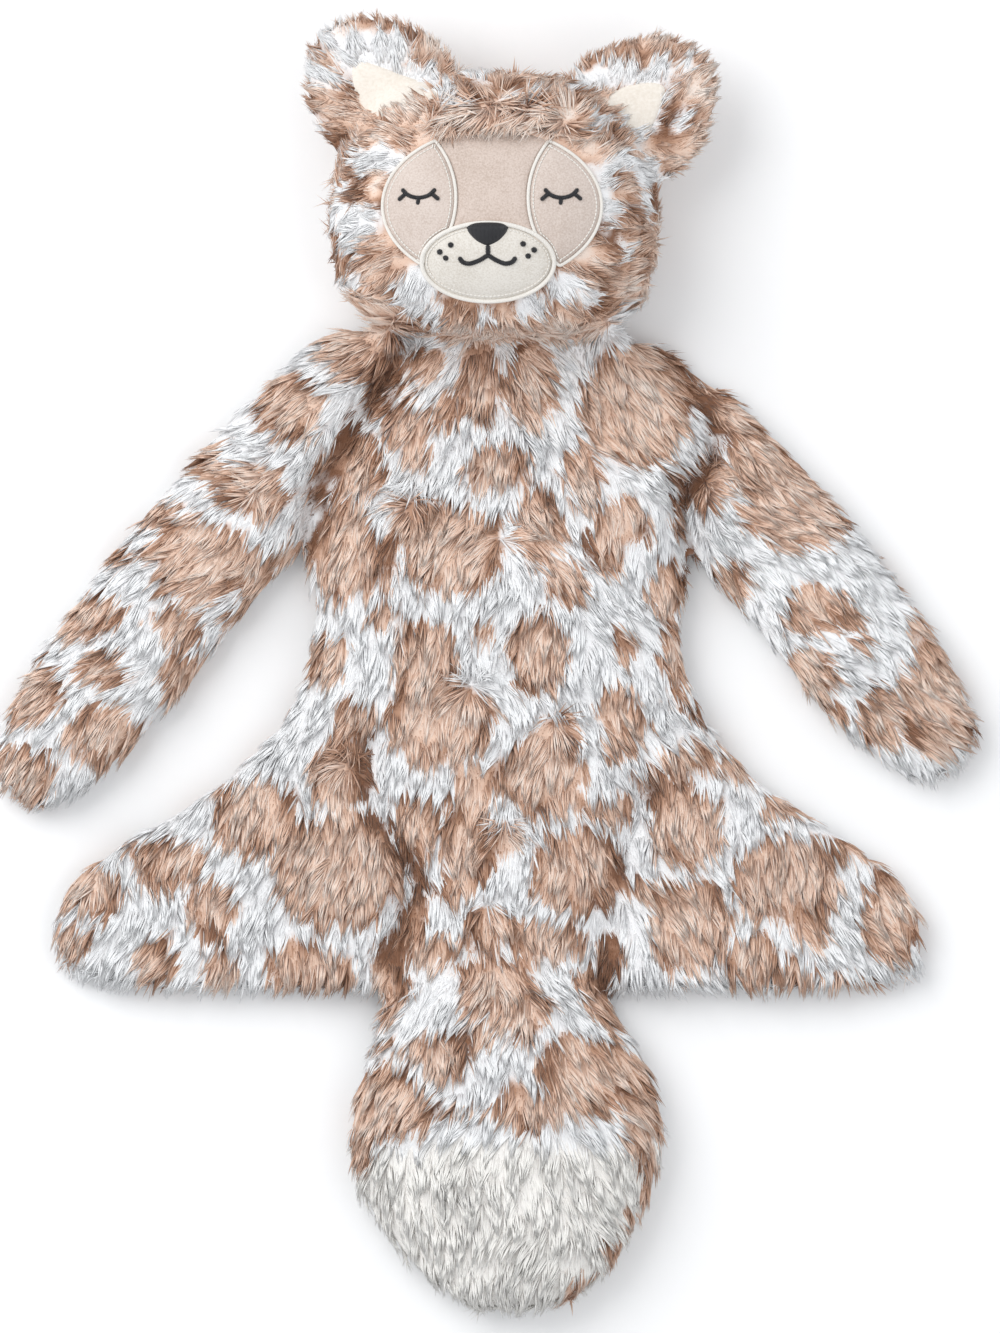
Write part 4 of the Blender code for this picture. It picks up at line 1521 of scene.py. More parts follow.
@dataclass
class Cord:
    """A raised line of cloth or thread along a path on the skin."""

    name: str
    paths: list[np.ndarray]
    radius: float
    lift: float
    closed: bool = False
    ridge: float = 0.0
    ridge_depth: float = 0.14
    flat: float = 0.75
    sides: int = 10

    def build(
        self, surface: Surface, tree: bpy.types.NodeTree, finish: bpy.types.Material
    ) -> bpy.types.Object:
        """Lay one tube along each path.

        Args:
            surface: the skin to lay it on.
            tree: the tree that sweeps the tubes.
            finish: the cloth or the thread.

        Returns:
            The new object.
        """
        lines = surface.trace(self.paths, self.lift, self.closed)
        obj = draw_lines(self.name, lines, self.closed)
        store(obj.data, "girth", np.concatenate([self.girth(line) for line in lines]))
        grow_on(obj, tree, {
            "Radius": self.radius, "Flat": self.flat, "Sides": self.sides, "Material": finish,
        })
        face_out(obj.data)
        return obj

    def girth(self, line: np.ndarray) -> np.ndarray:
        """Return the share of the radius at each point: ridges, and rounded ends.

        Args:
            line: rows of three in metres.

        Returns:
            One share for each row.
        """
        step = np.linalg.norm(np.diff(line, axis=0), axis=1)
        reach = np.concatenate(([0], np.cumsum(step)))
        girth = np.ones(len(line))
        if self.ridge:
            girth += self.ridge_depth * np.cos(math.tau * reach / self.ridge)
        if not self.closed:
            edge = np.minimum(reach, reach[-1] - reach) / self.radius
            girth *= np.sqrt(np.clip(1 - (1 - np.clip(edge, 0, 1)) ** 2, 0.02, 1))
        return girth


def smoothed(values: np.ndarray, closed: bool) -> np.ndarray:
    """Even out a row of heights with its neighbours.

    Args:
        values: the heights.
        closed: whether the last one is next to the first.

    Returns:
        The new heights.
    """
    for _ in range(SMOOTHINGS):
        if closed:
            values = (np.roll(values, 1) + values * 2 + np.roll(values, -1)) / 4
        else:
            inner = (values[:-2] + values[1:-1] * 2 + values[2:]) / 4
            values = np.concatenate((values[:1], inner, values[-1:]))
    return values


@dataclass
class Face:
    """The face of short velour, its piping and its embroidery."""

    # How far the eye panels and the brow reach under the muzzle, as shares of its size.
    EYE_UNDER = 0.02
    BROW_UNDER = 0.1

    eye_apart: float = 125.0
    eye_radius: float = 89.0
    eye_height: float = 200.0
    eye_centre: Row = (74, 196.0)
    brow_centre: Row = (492.0, 185.0)
    nose_centre: Row = (488, 233)
    brow_grow: Row = (1.01, 1.03)
    corners: int = 240
    muzzle_corners: int = 260
    piping: float = 0.85 * MM
    eye_piping: float = 0.75
    inset: float = 5.0
    thread: float = 0.9 * MM
    lash: float = 0.8 * MM
    lid_apart: float = 71
    lid_shift: float = -2
    knot: float = 1.05 * MM
    knot_half: Row = (2.8, 0.9)
    thread_pitch: float = 0.62 * MM
    thread_step: float = 0.4

    def build(self, surface: Surface) -> list[bpy.types.Object]:
        """Build every piece of the face and let it ride on the head.

        Args:
            surface: the skin to lay it on.

        Returns:
            The pieces.
        """
        velour = VelourFinish("face_velour", (0.70, 0.59, 0.525), (0.54, 0.435, 0.37)).build()
        eye = VelourFinish("eye_velour", (0.72, 0.625, 0.565), (0.575, 0.475, 0.415)).build()
        cream = VelourFinish("muzzle_velour", (0.80, 0.76, 0.70), (0.65, 0.60, 0.53)).build()
        trim = VelourFinish("piping_cloth", (0.88, 0.85, 0.80), (0.76, 0.72, 0.66), 2600.0).build()
        thread = ThreadFinish().build()
        tubes = CordTree().build()
        made = [
            self.keep(self.brow().build(surface), velour, "face_cloth", "brow_panel"),
            self.keep(self.muzzle().build(surface), cream, "cream_cloth", "muzzle_panel"),
        ]
        ring = cut_ring(MUZZLE_MIDDLE, self.muzzle_test, self.muzzle_corners)
        cord = Cord("muzzle_trim", [ring], self.piping, lift=0.9 * MM, closed=True)
        made.append(self.keep(cord.build(surface, tubes, trim), trim, "cream_cloth", "muzzle_piping"))
        lines = [inward(ring, self.inset)]
        for side, name in ((-1, "left_eye"), (1, "right_eye")):
            panel = self.eye(side, name)
            made.append(self.keep(panel.build(surface), eye, "eye_cloth", f"{name}_panel"))
            radius = self.piping * self.eye_piping
            cord = Cord(f"{name}_trim", [panel.ring], radius, lift=0.55 * MM, closed=True)
            made.append(self.keep(cord.build(surface, tubes, trim), trim, "cream_cloth", f"{name}_piping"))
            lines.append(inward(panel.ring, self.inset))
            lid = self.lid(side, name).build(surface, tubes, thread)
            made.append(self.keep(lid, thread, "black_thread", f"{name}_stitching"))
        row = StitchRow("edge_stitches", lines, 1.0 * MM).build(surface, StitchTree().build(), trim)
        made.append(self.keep(row, trim, "cream_cloth"))
        made.append(self.keep(self.nose().build(surface), thread, "black_thread", "nose_stitching"))
        mouth = self.mouth().build(surface, tubes, thread)
        made.append(self.keep(mouth, thread, "black_thread", "mouth_stitching"))
        knots = self.knots().build(surface, tubes, thread)
        made.append(self.keep(knots, thread, "black_thread"))
        return made

    def keep(
        self, obj: bpy.types.Object, finish: bpy.types.Material, slot: str, *nodes: str
    ) -> bpy.types.Object:
        """Dress a piece, let it ride on the head and stand for its solids.

        Args:
            obj: the piece.
            finish: its material.
            slot: its material slot.
            nodes: the solids that it stands for.

        Returns:
            The piece.
        """
        obj.data.materials.clear()
        obj.data.materials.append(finish)
        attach(obj, "head")
        if nodes:
            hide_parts(*nodes)
        return obj

    def muzzle_test(self, x: float, y: float) -> float:
        """Return below zero inside the muzzle."""
        return oval(x, y, MUZZLE_MIDDLE, MUZZLE_HALF)

    def eye_test(self, x: float, y: float, side: int) -> float:
        """Return below zero inside one eye panel.

        Args:
            x: the place across.
            y: the place down.
            side: -1 for the left eye, 1 for the right one.

        Returns:
            The value.
        """
        middle = (FACE_MIDDLE[0] + side * self.eye_apart, self.eye_height)
        circle = oval(x, y, middle, (self.eye_radius, self.eye_radius))
        muzzle = -self.muzzle_test(x, y) - self.EYE_UNDER
        return max(circle, oval(x, y, FACE_MIDDLE, FACE_HALF), muzzle)

    def eye(self, side: int, name: str) -> Panel:
        """Describe one eye panel.

        Args:
            side: -1 or 1.
            name: the start of its name.

        Returns:
            The panel.
        """
        apart, height = self.eye_centre
        centre = np.array((FACE_MIDDLE[0] + side * apart, height))
        ring = cut_ring(centre, lambda x, y: self.eye_test(x, y, side), self.corners)
        return Panel(f"{name}_velour", ring, tuple(centre), lift=0.7 * MM, crown=1.3 * MM)

    def brow(self) -> Panel:
        """Describe the panel between the eyes, from fringe to nose.

        Returns:
            The panel.
        """

        def test(x: float, y: float) -> float:
            """Return below zero inside the brow."""
            eyes = max(-self.eye_test(x, y, -1), -self.eye_test(x, y, 1))
            muzzle = -self.muzzle_test(x, y) - self.BROW_UNDER
            return max(oval(x, y, FACE_MIDDLE, half), eyes, muzzle)

        half = (FACE_HALF[0] * self.brow_grow[0], FACE_HALF[1] * self.brow_grow[1])
        ring = cut_ring(np.array(self.brow_centre), test, self.corners)
        return Panel("brow_velour", ring, self.brow_centre, lift=0.4 * MM, crown=0.5 * MM)

    def muzzle(self) -> Panel:
        """Describe the raised muzzle."""
        ring = cut_ring(MUZZLE_MIDDLE, self.muzzle_test, self.corners)
        return Panel("muzzle_velour", ring, MUZZLE_MIDDLE, lift=0.8 * MM, crown=1.5 * MM)

    def nose(self) -> Panel:
        """Describe the embroidered nose.

        Returns:
            The panel.
        """
        ring = curve(NOSE_OUTLINE, 1.2, closed=True)
        return Panel(
            "nose", ring, self.nose_centre, lift=1.9 * MM, crown=1.6 * MM, drop=1.2 * MM, rings=12
        )

    def mouth(self) -> Cord:
        """Describe the line under the nose and both halves of the mouth."""
        paths = [curve(line, self.thread_step) for line in MOUTH_LINES]
        return Cord("mouth", paths, self.thread, lift=2.3 * MM, ridge=self.thread_pitch)

    def knots(self) -> Cord:
        """Describe the six short knots that stand for the roots of the whiskers.

        Returns:
            The cord.
        """
        wide, high = self.knot_half
        paths = [curve([(x - wide, y - high), (x + wide, y + high)], 0.3) for x, y in WHISKER_DOTS]
        return Cord("whisker_knots", paths, self.knot, lift=1.7 * MM, ridge=self.thread_pitch)

    def lid(self, side: int, name: str) -> Cord:
        """Describe one closed eye and its three lashes.

        Args:
            side: -1 or 1.
            name: the start of its name.

        Returns:
            The cord.
        """
        x = FACE_MIDDLE[0] + self.lid_shift + side * self.lid_apart
        lines = [
            [(x - 17, 191), (x - 10, 197.5), (x, 200), (x + 10, 197.5), (x + 17, 191)],
            [(x - 13, 196), (x - 20.5, 202.5)],
            [(x, 200), (x - 1, 207)],
            [(x + 13, 196), (x + 20.5, 202)],
        ]
        paths = [curve(line, self.thread_step) for line in lines]
        return Cord(f"{name}_lid", paths, self.lash, lift=2.0 * MM, ridge=self.thread_pitch)


@dataclass
class EarLining:
    """The patch of short cream cloth inside one ear."""

    region: Region
    outline: list[Row]

    def build(self, surface: Surface, finish: bpy.types.Material) -> bpy.types.Object:
        """Lay the patch in the ear.

        Args:
            surface: the skin to lay it on.
            finish: its material.

        Returns:
            The new object.
        """
        ring = curve(self.outline, 2.0, closed=True)
        panel = Panel(
            f"{self.region.value}_velour", ring, tuple(ring.mean(axis=0)),
            lift=0.8 * MM, crown=0.4 * MM, drop=1.0 * MM, rings=14,
        )
        obj = panel.build(surface)
        obj.data.materials.clear()
        obj.data.materials.append(finish)
        return obj


def fringe_share(sheet: np.ndarray, middle: Row, half: Row) -> np.ndarray:
    """Return 1 at the fringe over the brow, falling to nothing around it.

    Args:
        sheet: places on the pattern sheet.
        middle: the middle of the fringe on it.
        half: how far the fringe reaches sideways and up.

    Returns:
        One share for each place.
    """
    aside = (sheet[:, 0] - middle[0]) / half[0]
    above = (sheet[:, 1] - middle[1]) / half[1]
    return np.exp(-(above**2) - aside**4)


@dataclass
class Nap:
    """The way that the pile lies on each part of the toy."""

    kinds: np.ndarray
    skin: Skin
    throat: Row = (490, 300)
    hips: Row = (500, 900)
    body_down: float = 0.45
    tail_down: float = 0.2
    arm_down: float = 0.1
    arm_spread: float = 9.0
    ear_root: float = 0.02
    swing_pitch: float = 11 * MM
    fringe_at: Row = (500, 122)
    fringe_half: Row = (72, 17)
    fringe_turn: float = 1.9
    fringe_swing: float = 0.8
    turns: tuple[tuple[float, float, int], ...] = ((0.30, 38 * MM, 21), (0.16, 14 * MM, 22))
    steep: float = 0.15

    def away(self, points: np.ndarray, x: float, y: float) -> np.ndarray:
        """Point away from a place on the pattern sheet.

        Args:
            points: rows in metres.
            x: the place across.
            y: the place down.

        Returns:
            One way for each row.
        """
        way = points - np.array((*plan(x, y), 0.0))
        way[:, 2] = 0
        return unit(way)

    def on_arm(self, points: np.ndarray, region: Region) -> np.ndarray:
        """Point along an arm and out towards its sides.

        Args:
            points: rows in metres.
            region: the arm.

        Returns:
            One way for each row.
        """
        base = np.array(self.skin.seams[region].base)
        middle = (np.array(panel_middle(region)) - base) * (1, 1, 0)
        axis = unit(middle[None])[0]
        side = points - base
        side[:, 2] = 0
        side = side - (side @ axis)[:, None] * axis
        return unit(axis + self.arm_spread * side + self.arm_down * DOWN)

    def on_head(self, points: np.ndarray) -> np.ndarray:
        """Point away from the face, and down over the brow in uneven tufts.

        Args:
            points: rows in metres.

        Returns:
            One way for each row.
        """
        out = self.away(points, *FACE_MIDDLE)
        fringe = fringe_share(to_sheet(points), self.fringe_at, self.fringe_half)
        zero = np.zeros(len(points))
        swing = np.column_stack((ripple(points, self.swing_pitch, 41), zero, zero))
        turned = out * (1 - self.fringe_turn * fringe)[:, None]
        return unit(turned + self.fringe_swing * fringe[:, None] * swing)

    def on_ear(self, points: np.ndarray, region: Region) -> np.ndarray:
        """Fan out from a place behind the root of an ear.

        Args:
            points: rows in metres.
            region: the ear.

        Returns:
            One way for each row.
        """
        seam = self.skin.seams[region]
        way = points - np.array(seam.base) + self.ear_root * np.array(seam.outward)
        return unit(way * (1, 1, 0))

    def lay(self, points: np.ndarray, region: Region) -> np.ndarray:
        """Return the way that the pile of one region lies before it whorls and wanders.

        Args:
            points: rows in metres.
            region: the region.

        Returns:
            One way for each row.
        """
        if region in ARMS:
            return self.on_arm(points, region)
        if region in EARS:
            return self.on_ear(points, region)
        if region is Region.HEAD:
            return self.on_head(points)
        if region is Region.TAIL:
            return unit(self.away(points, *self.hips) + self.tail_down * DOWN)
        return unit(self.away(points, *self.throat) + self.body_down * DOWN)

    def field(self, mesh: bpy.types.Mesh) -> np.ndarray:
        """Return the tangent along which the pile lies at each vertex.

        Args:
            mesh: the skin.

        Returns:
            One tangent for each vertex.
        """
        points = points_of(mesh)
        normals = normals_of(mesh)
        way = np.empty_like(points)
        for region in REGIONS:
            mine = among(self.kinds, region)
            way[mine] = self.lay(points, region)[mine]
        for x, y, wide, pull in WHORLS:
            reach = np.linalg.norm(points[:, :2] - plan(x, y), axis=1) / (wide * GRID)
            near = np.exp(-(reach**2))
            way = unit(way + (pull * near)[:, None] * self.away(points, x, y))
        turn = sum(size * ripple(points, pitch, seed) for size, pitch, seed in self.turns)
        spun = way.copy()
        spun[:, 0] = way[:, 0] * np.cos(turn) - way[:, 1] * np.sin(turn)
        spun[:, 1] = way[:, 0] * np.sin(turn) + way[:, 1] * np.cos(turn)
        flat = spun - (spun * normals).sum(axis=1, keepdims=True) * normals
        flat[np.linalg.norm(flat, axis=1) < self.steep] += np.array((0.0, 0.0, -1.0))
        return unit(flat)


@dataclass
class PileTree:
    """The Geometry Nodes tree that plants locks of pile on a skin."""

    cell: float = 6 * MM
    slim: float = 0.047
    flat: float = 0.55
    bend: float = 0.30
    swell: float = 2.2
    grain: float = 260.0
    jitter: float = 0.45
    coat_edge: Row = (0.22, 0.78)
    coat_gain: float = 5.0
    lengths: Row = (0.72, 1.18)
    girths: Row = (0.75, 1.25)

    def lock(self, graph: Graph) -> bpy.types.NodeSocket:
        """Make one lock of length one, bent towards -X and pointed.

        Args:
            graph: the tree that it is built in.

        Returns:
            The lock.
        """
        cone = graph.add(
            "GeometryNodeMeshCone", {"fill_type": "NGON"},
            Vertices=3, Side_Segments=2, Radius_Top=0.0, Radius_Bottom=self.slim, Depth=1.0,
        ).outputs["Mesh"]
        spot = graph.add("GeometryNodeInputPosition").outputs[0]
        parts = graph.add("ShaderNodeSeparateXYZ", Vector=spot)
        up = parts.outputs[2]
        wide = graph.math("MULTIPLY", up, graph.math("SUBTRACT", 1.0, up))
        wide = graph.math("MULTIPLY", wide, self.swell)
        back = graph.math("MULTIPLY", graph.math("MULTIPLY", up, up), -self.bend)
        shift = graph.combine(
            graph.math("ADD", graph.math("MULTIPLY", parts.outputs[0], wide), back),
            graph.math("MULTIPLY", parts.outputs[1], wide),
            0.0,
        )
        moved = graph.add("GeometryNodeSetPosition", Geometry=cone, Offset=shift).outputs[0]
        smooth = graph.add("GeometryNodeSetShadeSmooth", Geometry=moved).outputs[0]
        return graph.keep(smooth, "along", up)

    def build(self) -> bpy.types.NodeTree:
        """Build the tree.

        Returns:
            The tree.
        """
        graph = Graph("pile", {
            "Geometry": Socket.GEOMETRY, "Density": Socket.FLOAT, "Length": Socket.FLOAT,
            "Lift": Socket.FLOAT, "Clump": Socket.FLOAT, "Seed": Socket.INT, "Material": Socket.MATERIAL,
        })
        start = graph.start.outputs
        scatter = graph.add(
            "GeometryNodeDistributePointsOnFaces", {"distribute_method": "RANDOM"},
            Mesh=start["Geometry"],
            Density=graph.math("MULTIPLY", start["Density"], graph.named("thick")),
            Seed=start["Seed"],
        )
        normal = graph.vector("NORMALIZE", scatter.outputs["Normal"])
        points = graph.keep(scatter.outputs["Points"], "shade", graph.random(0.0, 1.0, 11))
        past = graph.math("SUBTRACT", graph.named("coat"), graph.random(*self.coat_edge, 12))
        chosen = graph.math("ADD", graph.math("MULTIPLY", past, self.coat_gain), 0.5)
        chosen = graph.math("MINIMUM", graph.math("MAXIMUM", chosen, 0.0), 1.0)
        points = graph.keep(points, "coat", chosen)
        length = graph.math("MULTIPLY", start["Length"], graph.named("long"))
        length = graph.math("MULTIPLY", length, graph.random(*self.lengths, 13))
        way = self.lean(graph, normal, length)
        first = graph.add(
            "FunctionNodeAlignRotationToVector", {"axis": "Z", "pivot_axis": "AUTO"}, Vector=way
        ).outputs[0]
        second = graph.add(
            "FunctionNodeAlignRotationToVector", {"axis": "X", "pivot_axis": "Z"},
            Rotation=first, Vector=normal,
        ).outputs[0]
        girth = graph.math("MULTIPLY", length, graph.random(*self.girths, 14))
        planted = graph.add(
            "GeometryNodeInstanceOnPoints",
            Points=points, Instance=self.lock(graph), Rotation=second,
            Scale=graph.combine(graph.math("MULTIPLY", girth, self.flat), girth, length),
        ).outputs[0]
        graph.close(planted)
        return graph.tree

    def lean(
        self, graph: Graph, normal: bpy.types.NodeSocket, length: bpy.types.NodeSocket
    ) -> bpy.types.NodeSocket:
        """Point each lock along the nap, lifted, pulled to its clump and a little astray.

        Args:
            graph: the tree that it is built in.
            normal: the skin's normal.
            length: the lock's length.

        Returns:
            The way that the lock points.
        """
        start = graph.start.outputs
        spot = graph.add("GeometryNodeInputPosition").outputs[0]
        cells = graph.add(
            "ShaderNodeTexVoronoi", {"voronoi_dimensions": "3D", "feature": "F1"},
            Vector=spot, Scale=1 / self.cell, Randomness=1.0,
        )
        pull = graph.vector("SUBTRACT", cells.outputs["Position"], spot)
        pull = graph.vector("SCALE", pull, scale=graph.math("DIVIDE", start["Clump"], length))
        grain = graph.add(
            "ShaderNodeTexNoise", {"noise_dimensions": "3D"}, Vector=spot, Scale=self.grain, Detail=1.0
        )
        astray = graph.vector("SUBTRACT", grain.outputs["Color"], (0.5, 0.5, 0.5))
        rise = graph.math("MULTIPLY", start["Lift"], graph.named("rise"))
        lifted = graph.vector("SCALE", normal, scale=rise)
        way = graph.vector("ADD", graph.named("nap", "FLOAT_VECTOR"), lifted)
        way = graph.vector("ADD", way, pull)
        return graph.vector("ADD", way, graph.vector("SCALE", astray, scale=self.jitter))


@dataclass
class Pile:
    """Long pile on one piece of skin."""

    tree: bpy.types.NodeTree
    material: bpy.types.Material
    density: float = 1100000.0
    length: float = 9.4 * MM
    lift: float = 0.24
    clump: float = 0.8
    floor: Row = (0.1, 1.0)

    def grow(self, skin: bpy.types.Object, name: str, seed: int) -> bpy.types.Object:
        """Plant the pile and return it as a plain mesh.

        Args:
            skin: the piece that carries the pile.
            name: the new piece's name.
            seed: what the locks are drawn from.

        Returns:
            The new object.
        """
        obj = place(name, skin.data.copy())
        grow_on(obj, self.tree, {
            "Density": self.density, "Length": self.length, "Lift": self.lift,
            "Clump": self.clump, "Seed": seed, "Material": self.material,
        })
        points = points_of(obj.data)
        floor = np.random.default_rng(seed).uniform(*self.floor, len(points)) * MM
        points[:, 2] = np.maximum(points[:, 2], floor)
        set_points(obj.data, points)
        obj.data.materials.clear()
        obj.data.materials.append(self.material)
        return obj


VELOUR_SOLIDS = (
    "brow_panel", "left_eye_panel", "right_eye_panel", "muzzle_panel",
    "left_ear_lining", "right_ear_lining",
)


def inside_ring(rows: np.ndarray, ring: np.ndarray) -> np.ndarray:
    """Say which rows lie inside a closed outline.

    Args:
        rows: places on the pattern sheet.
        ring: the outline.

    Returns:
        True or false for each.
    """
    within = np.zeros(len(rows), bool)
    for a, b in zip(ring, np.roll(ring, -1, axis=0)):
        crosses = (a[1] > rows[:, 1]) != (b[1] > rows[:, 1])
        span = b[1] - a[1] if b[1] != a[1] else 1e-9
        within ^= crosses & (rows[:, 0] < a[0] + (rows[:, 1] - a[1]) / span * (b[0] - a[0]))
    return within


@dataclass
class PileCut:
    """How thick and how long the pile is on each part of the toy."""

    kinds: np.ndarray
    skin: Skin
    back_thick: float = 0.45
    fold_thick: float = 0.5
    ear_thick: float = 1.6
    back_long: float = 0.75
    fold_long: float = 0.25
    head_long: float = 0.85
    ear_long: float = 0.62
    face_long: float = 0.55
    face_regain: float = 0.45
    regain_at: Row = (1.0, 1.25)
    sink_at: Row = (1.02, 0.9)
    fringe_at: Row = (500, 120)
    fringe_half: Row = (66, 14)
    fringe_long: float = 0.9
    fringe_rise: float = 1.2
    least_rise: float = 0.4
    front_rise: float = 0.6
    front_at: Row = (-0.1, 0.8)
    crease_short: float = 35
    crease_width: float = 5 * MM
    fold_at: float = 16 * MM
    fold_width: float = 18 * MM
    lining_share: float = 0.86
    lining_step: float = 3.0
    lining_up: float = 0.2

    def apply(self, mesh: bpy.types.Mesh) -> None:
        """Store the thickness, length and rise of the pile, and sink the bare face.

        Args:
            mesh: the skin.
        """
        points = points_of(mesh)
        normals = normals_of(mesh)
        sheet = to_sheet(points)
        high = points[:, 2] > FACE_LEVEL
        near = np.minimum(
            np.linalg.norm((sheet - FACE_MIDDLE) / FACE_HALF, axis=1),
            np.linalg.norm((sheet - MUZZLE_MIDDLE) / MUZZLE_HALF, axis=1),
        )
        back = normals[:, 2] < BACK_LEAN
        ears = among(self.kinds, *EARS)
        fold = self.fold(points)
        fringe = fringe_share(sheet, self.fringe_at, self.fringe_half) * high
        thick = np.where(back, self.back_thick + self.fold_thick * fold, 1.0)
        thick = thick * np.where(ears, self.ear_thick, 1.0)
        bare = (near < 1.0) & high | self.under_linings(sheet, normals)
        store(mesh, "thick", np.where(bare, 0.0, thick))
        length = np.where(back, self.back_long + self.fold_long * fold, 1.0)
        length = np.where(among(self.kinds, Region.HEAD), self.head_long, length)
        length = np.where(ears, self.ear_long, length)
        regain = self.face_long + self.face_regain * smooth_step(*self.regain_at, near)
        length = length * np.where(high, regain, 1.0)
        length = length * (1 + self.fringe_long * fringe)
        for crease in CREASES:
            short = self.crease_short * crease.depth * crease.nearness(points, self.crease_width)
            length = length * (1 - short)
        store(mesh, "long", length)
        front = smooth_step(*self.front_at, normals[:, 2])
        store(mesh, "rise", self.least_rise + self.front_rise * front + self.fringe_rise * fringe)
        sink = smooth_step(*self.sink_at, near) * high * self.skin.face_sink
        set_points(mesh, points - sink[:, None] * normals)
        # The bare skin between the locks takes the colour of a lock's root, painted root shade included.
        for name, value in (("shade", 0.5), ("along", 0.1)):
            store(mesh, name, np.full(len(points), value))

    def fold(self, points: np.ndarray) -> np.ndarray:
        """Return 1 where an arm or the tail bends most, falling to nothing around it.

        Args:
            points: rows in metres.

        Returns:
            One share for each row.
        """
        fold = np.zeros(len(points))
        for region in (*ARMS, Region.TAIL):
            past = self.skin.seams[region].beyond(points)
            bell = np.exp(-(((past - self.fold_at) / self.fold_width) ** 2))
            fold = np.maximum(fold, among(self.kinds, region) * bell)
        return fold

    def under_linings(self, sheet: np.ndarray, normals: np.ndarray) -> np.ndarray:
        """Say which vertices the linings of the ears cover.

        Args:
            sheet: places on the pattern sheet.
            normals: their normals.

        Returns:
            True or false for each.
        """
        under = np.zeros(len(sheet), bool)
        for outline in (LEFT_LINING, RIGHT_LINING):
            ring = curve(outline, self.lining_step, closed=True)
            ring = ring.mean(axis=0) + self.lining_share * (ring - ring.mean(axis=0))
            under |= inside_ring(sheet, ring) & (normals[:, 2] > self.lining_up)
        return under


@dataclass
class Toy:
    """The whole toy, built in order from its skin outwards."""

    frame: dict
    fill: float = 0.7
    most_locks: int = 17500
    seed_step: int = 100
    arm_bend: float = 26 * MM
    ear_bend: float = 13 * MM
    tail_bend: float = 32 * MM
    tail_start: float = 6
    neck_start: Row = (122 * MM, 10 * MM)
    neck_end: Row = (140 * MM, 36 * MM)
    pieces: list[bpy.types.Object] = field(default_factory=list)

    def __post_init__(self) -> None:
        """Describe the skin."""
        self.skin = Skin(self.frame)

    def build(self) -> list[bpy.types.Object]:
        """Build every piece and return them all.

        Returns:
            The pieces.
        """
        whole = self.skin.build()
        kinds = self.skin.kinds(whole.data)
        self.skin.spread(whole.data, kinds)
        surface = Surface(whole.data)
        nap = Nap(kinds, self.skin).field(whole.data)
        store(whole.data, "nap", nap)
        CoatPattern().apply(whole.data, kinds, nap)
        PileCut(kinds, self.skin).apply(whole.data)
        pile = Pile(PileTree().build(), FurFinish().build())
        owners = self.owners(whole.data, kinds)
        for row, region in enumerate(REGIONS):
            self.cover(whole.data, owners == row, region, pile)
        bpy.data.objects.remove(whole)
        self.pieces += Face().build(surface)
        lining = VelourFinish("lining_velour", (0.90, 0.84, 0.76), (0.82, 0.75, 0.66), 900.0).build()
        for region, outline in ((Region.LEFT_EAR, LEFT_LINING), (Region.RIGHT_EAR, RIGHT_LINING)):
            piece = EarLining(region, outline).build(surface, lining)
            self.attach(piece, region)
            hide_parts(f"{region.value}_lining")
        return self.pieces

    def cover(self, source: bpy.types.Mesh, keep: np.ndarray, region: Region, pile: Pile) -> None:
        """Cut one region's skin out and grow its pile.

        Args:
            source: the whole skin.
            keep: true for the region's faces.
            region: the part of the toy.
            pile: what grows on it.
        """
        piece = self.part(source, keep, f"{region.value}_skin")
        piece.data.materials.clear()
        piece.data.materials.append(pile.material)
        self.attach(piece, region)
        solids = [n.name for n in self.skin.solids[region]]
        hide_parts(*[n for n in solids if n not in VELOUR_SOLIDS])
        for index, share in enumerate(self.shares(piece, pile.density)):
            seed = self.seed_step * REGIONS.index(region) + index
            grown = pile.grow(share, f"{region.value}_pile_{index + 1}", seed)
            bpy.data.objects.remove(share)
            self.attach(grown, region)

    def owners(self, mesh: bpy.types.Mesh, kinds: np.ndarray) -> np.ndarray:
        """Return the region of each face, the outermost among its corners."""
        return np.array([max(kinds[i] for i in face.vertices) for face in mesh.polygons])

    def part(self, source: bpy.types.Mesh, keep: np.ndarray, name: str) -> bpy.types.Object:
        """Copy some of a mesh's faces into a new object.

        Args:
            source: the mesh to take them from.
            keep: true for each face that is taken.
            name: the new object's name.

        Returns:
            The new object.
        """
        work = bmesh.new()
        work.from_mesh(source)
        work.faces.ensure_lookup_table()
        gone = [work.faces[int(i)] for i in np.flatnonzero(~keep)]
        bmesh.ops.delete(work, geom=gone, context="FACES")
        mesh = bpy.data.meshes.new(name)
        work.to_mesh(mesh)
        work.free()
        mesh.polygons.foreach_set("use_smooth", [True] * len(mesh.polygons))
        return place(name, mesh)

    def shares(self, piece: bpy.types.Object, density: float) -> list[bpy.types.Object]:
        """Split a large piece of skin so that no pile is too heavy.

        Args:
            piece: the skin of one region.
            density: locks for each square metre.

        Returns:
            One object for each share, from left to right.
        """
        mesh = piece.data
        count = len(mesh.polygons)
        area = np.array([p.area for p in mesh.polygons])
        middle = np.array([p.center[0] for p in mesh.polygons])
        thick = np.empty(len(mesh.vertices))
        mesh.attributes["thick"].data.foreach_get("value", thick)
        weight = area * np.array([thick[p.vertices[0]] for p in mesh.polygons])
        number = max(1, math.ceil(weight.sum() * density / self.most_locks))
        order = np.argsort(middle)
        reach = np.cumsum(weight[order]) / max(weight.sum(), 1e-9) * number
        share = np.empty(count, dtype=int)
        share[order] = np.clip(np.floor(reach - 1e-6), 0, number - 1)
        return [self.part(mesh, share == index, "share") for index in range(number)]

    def attach(self, obj: bpy.types.Object, region: Region) -> None:
        """Ride on the torso; any other piece only has the places of its bend worked out and its transform
        baked.

        Args:
            obj: the piece.
            region: the part of the toy that it belongs to.
        """
        self.pieces.append(obj)
        if region is Region.TORSO:
            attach(obj, "torso")
            return
        start, end = self.bend(region)
        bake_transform(obj)

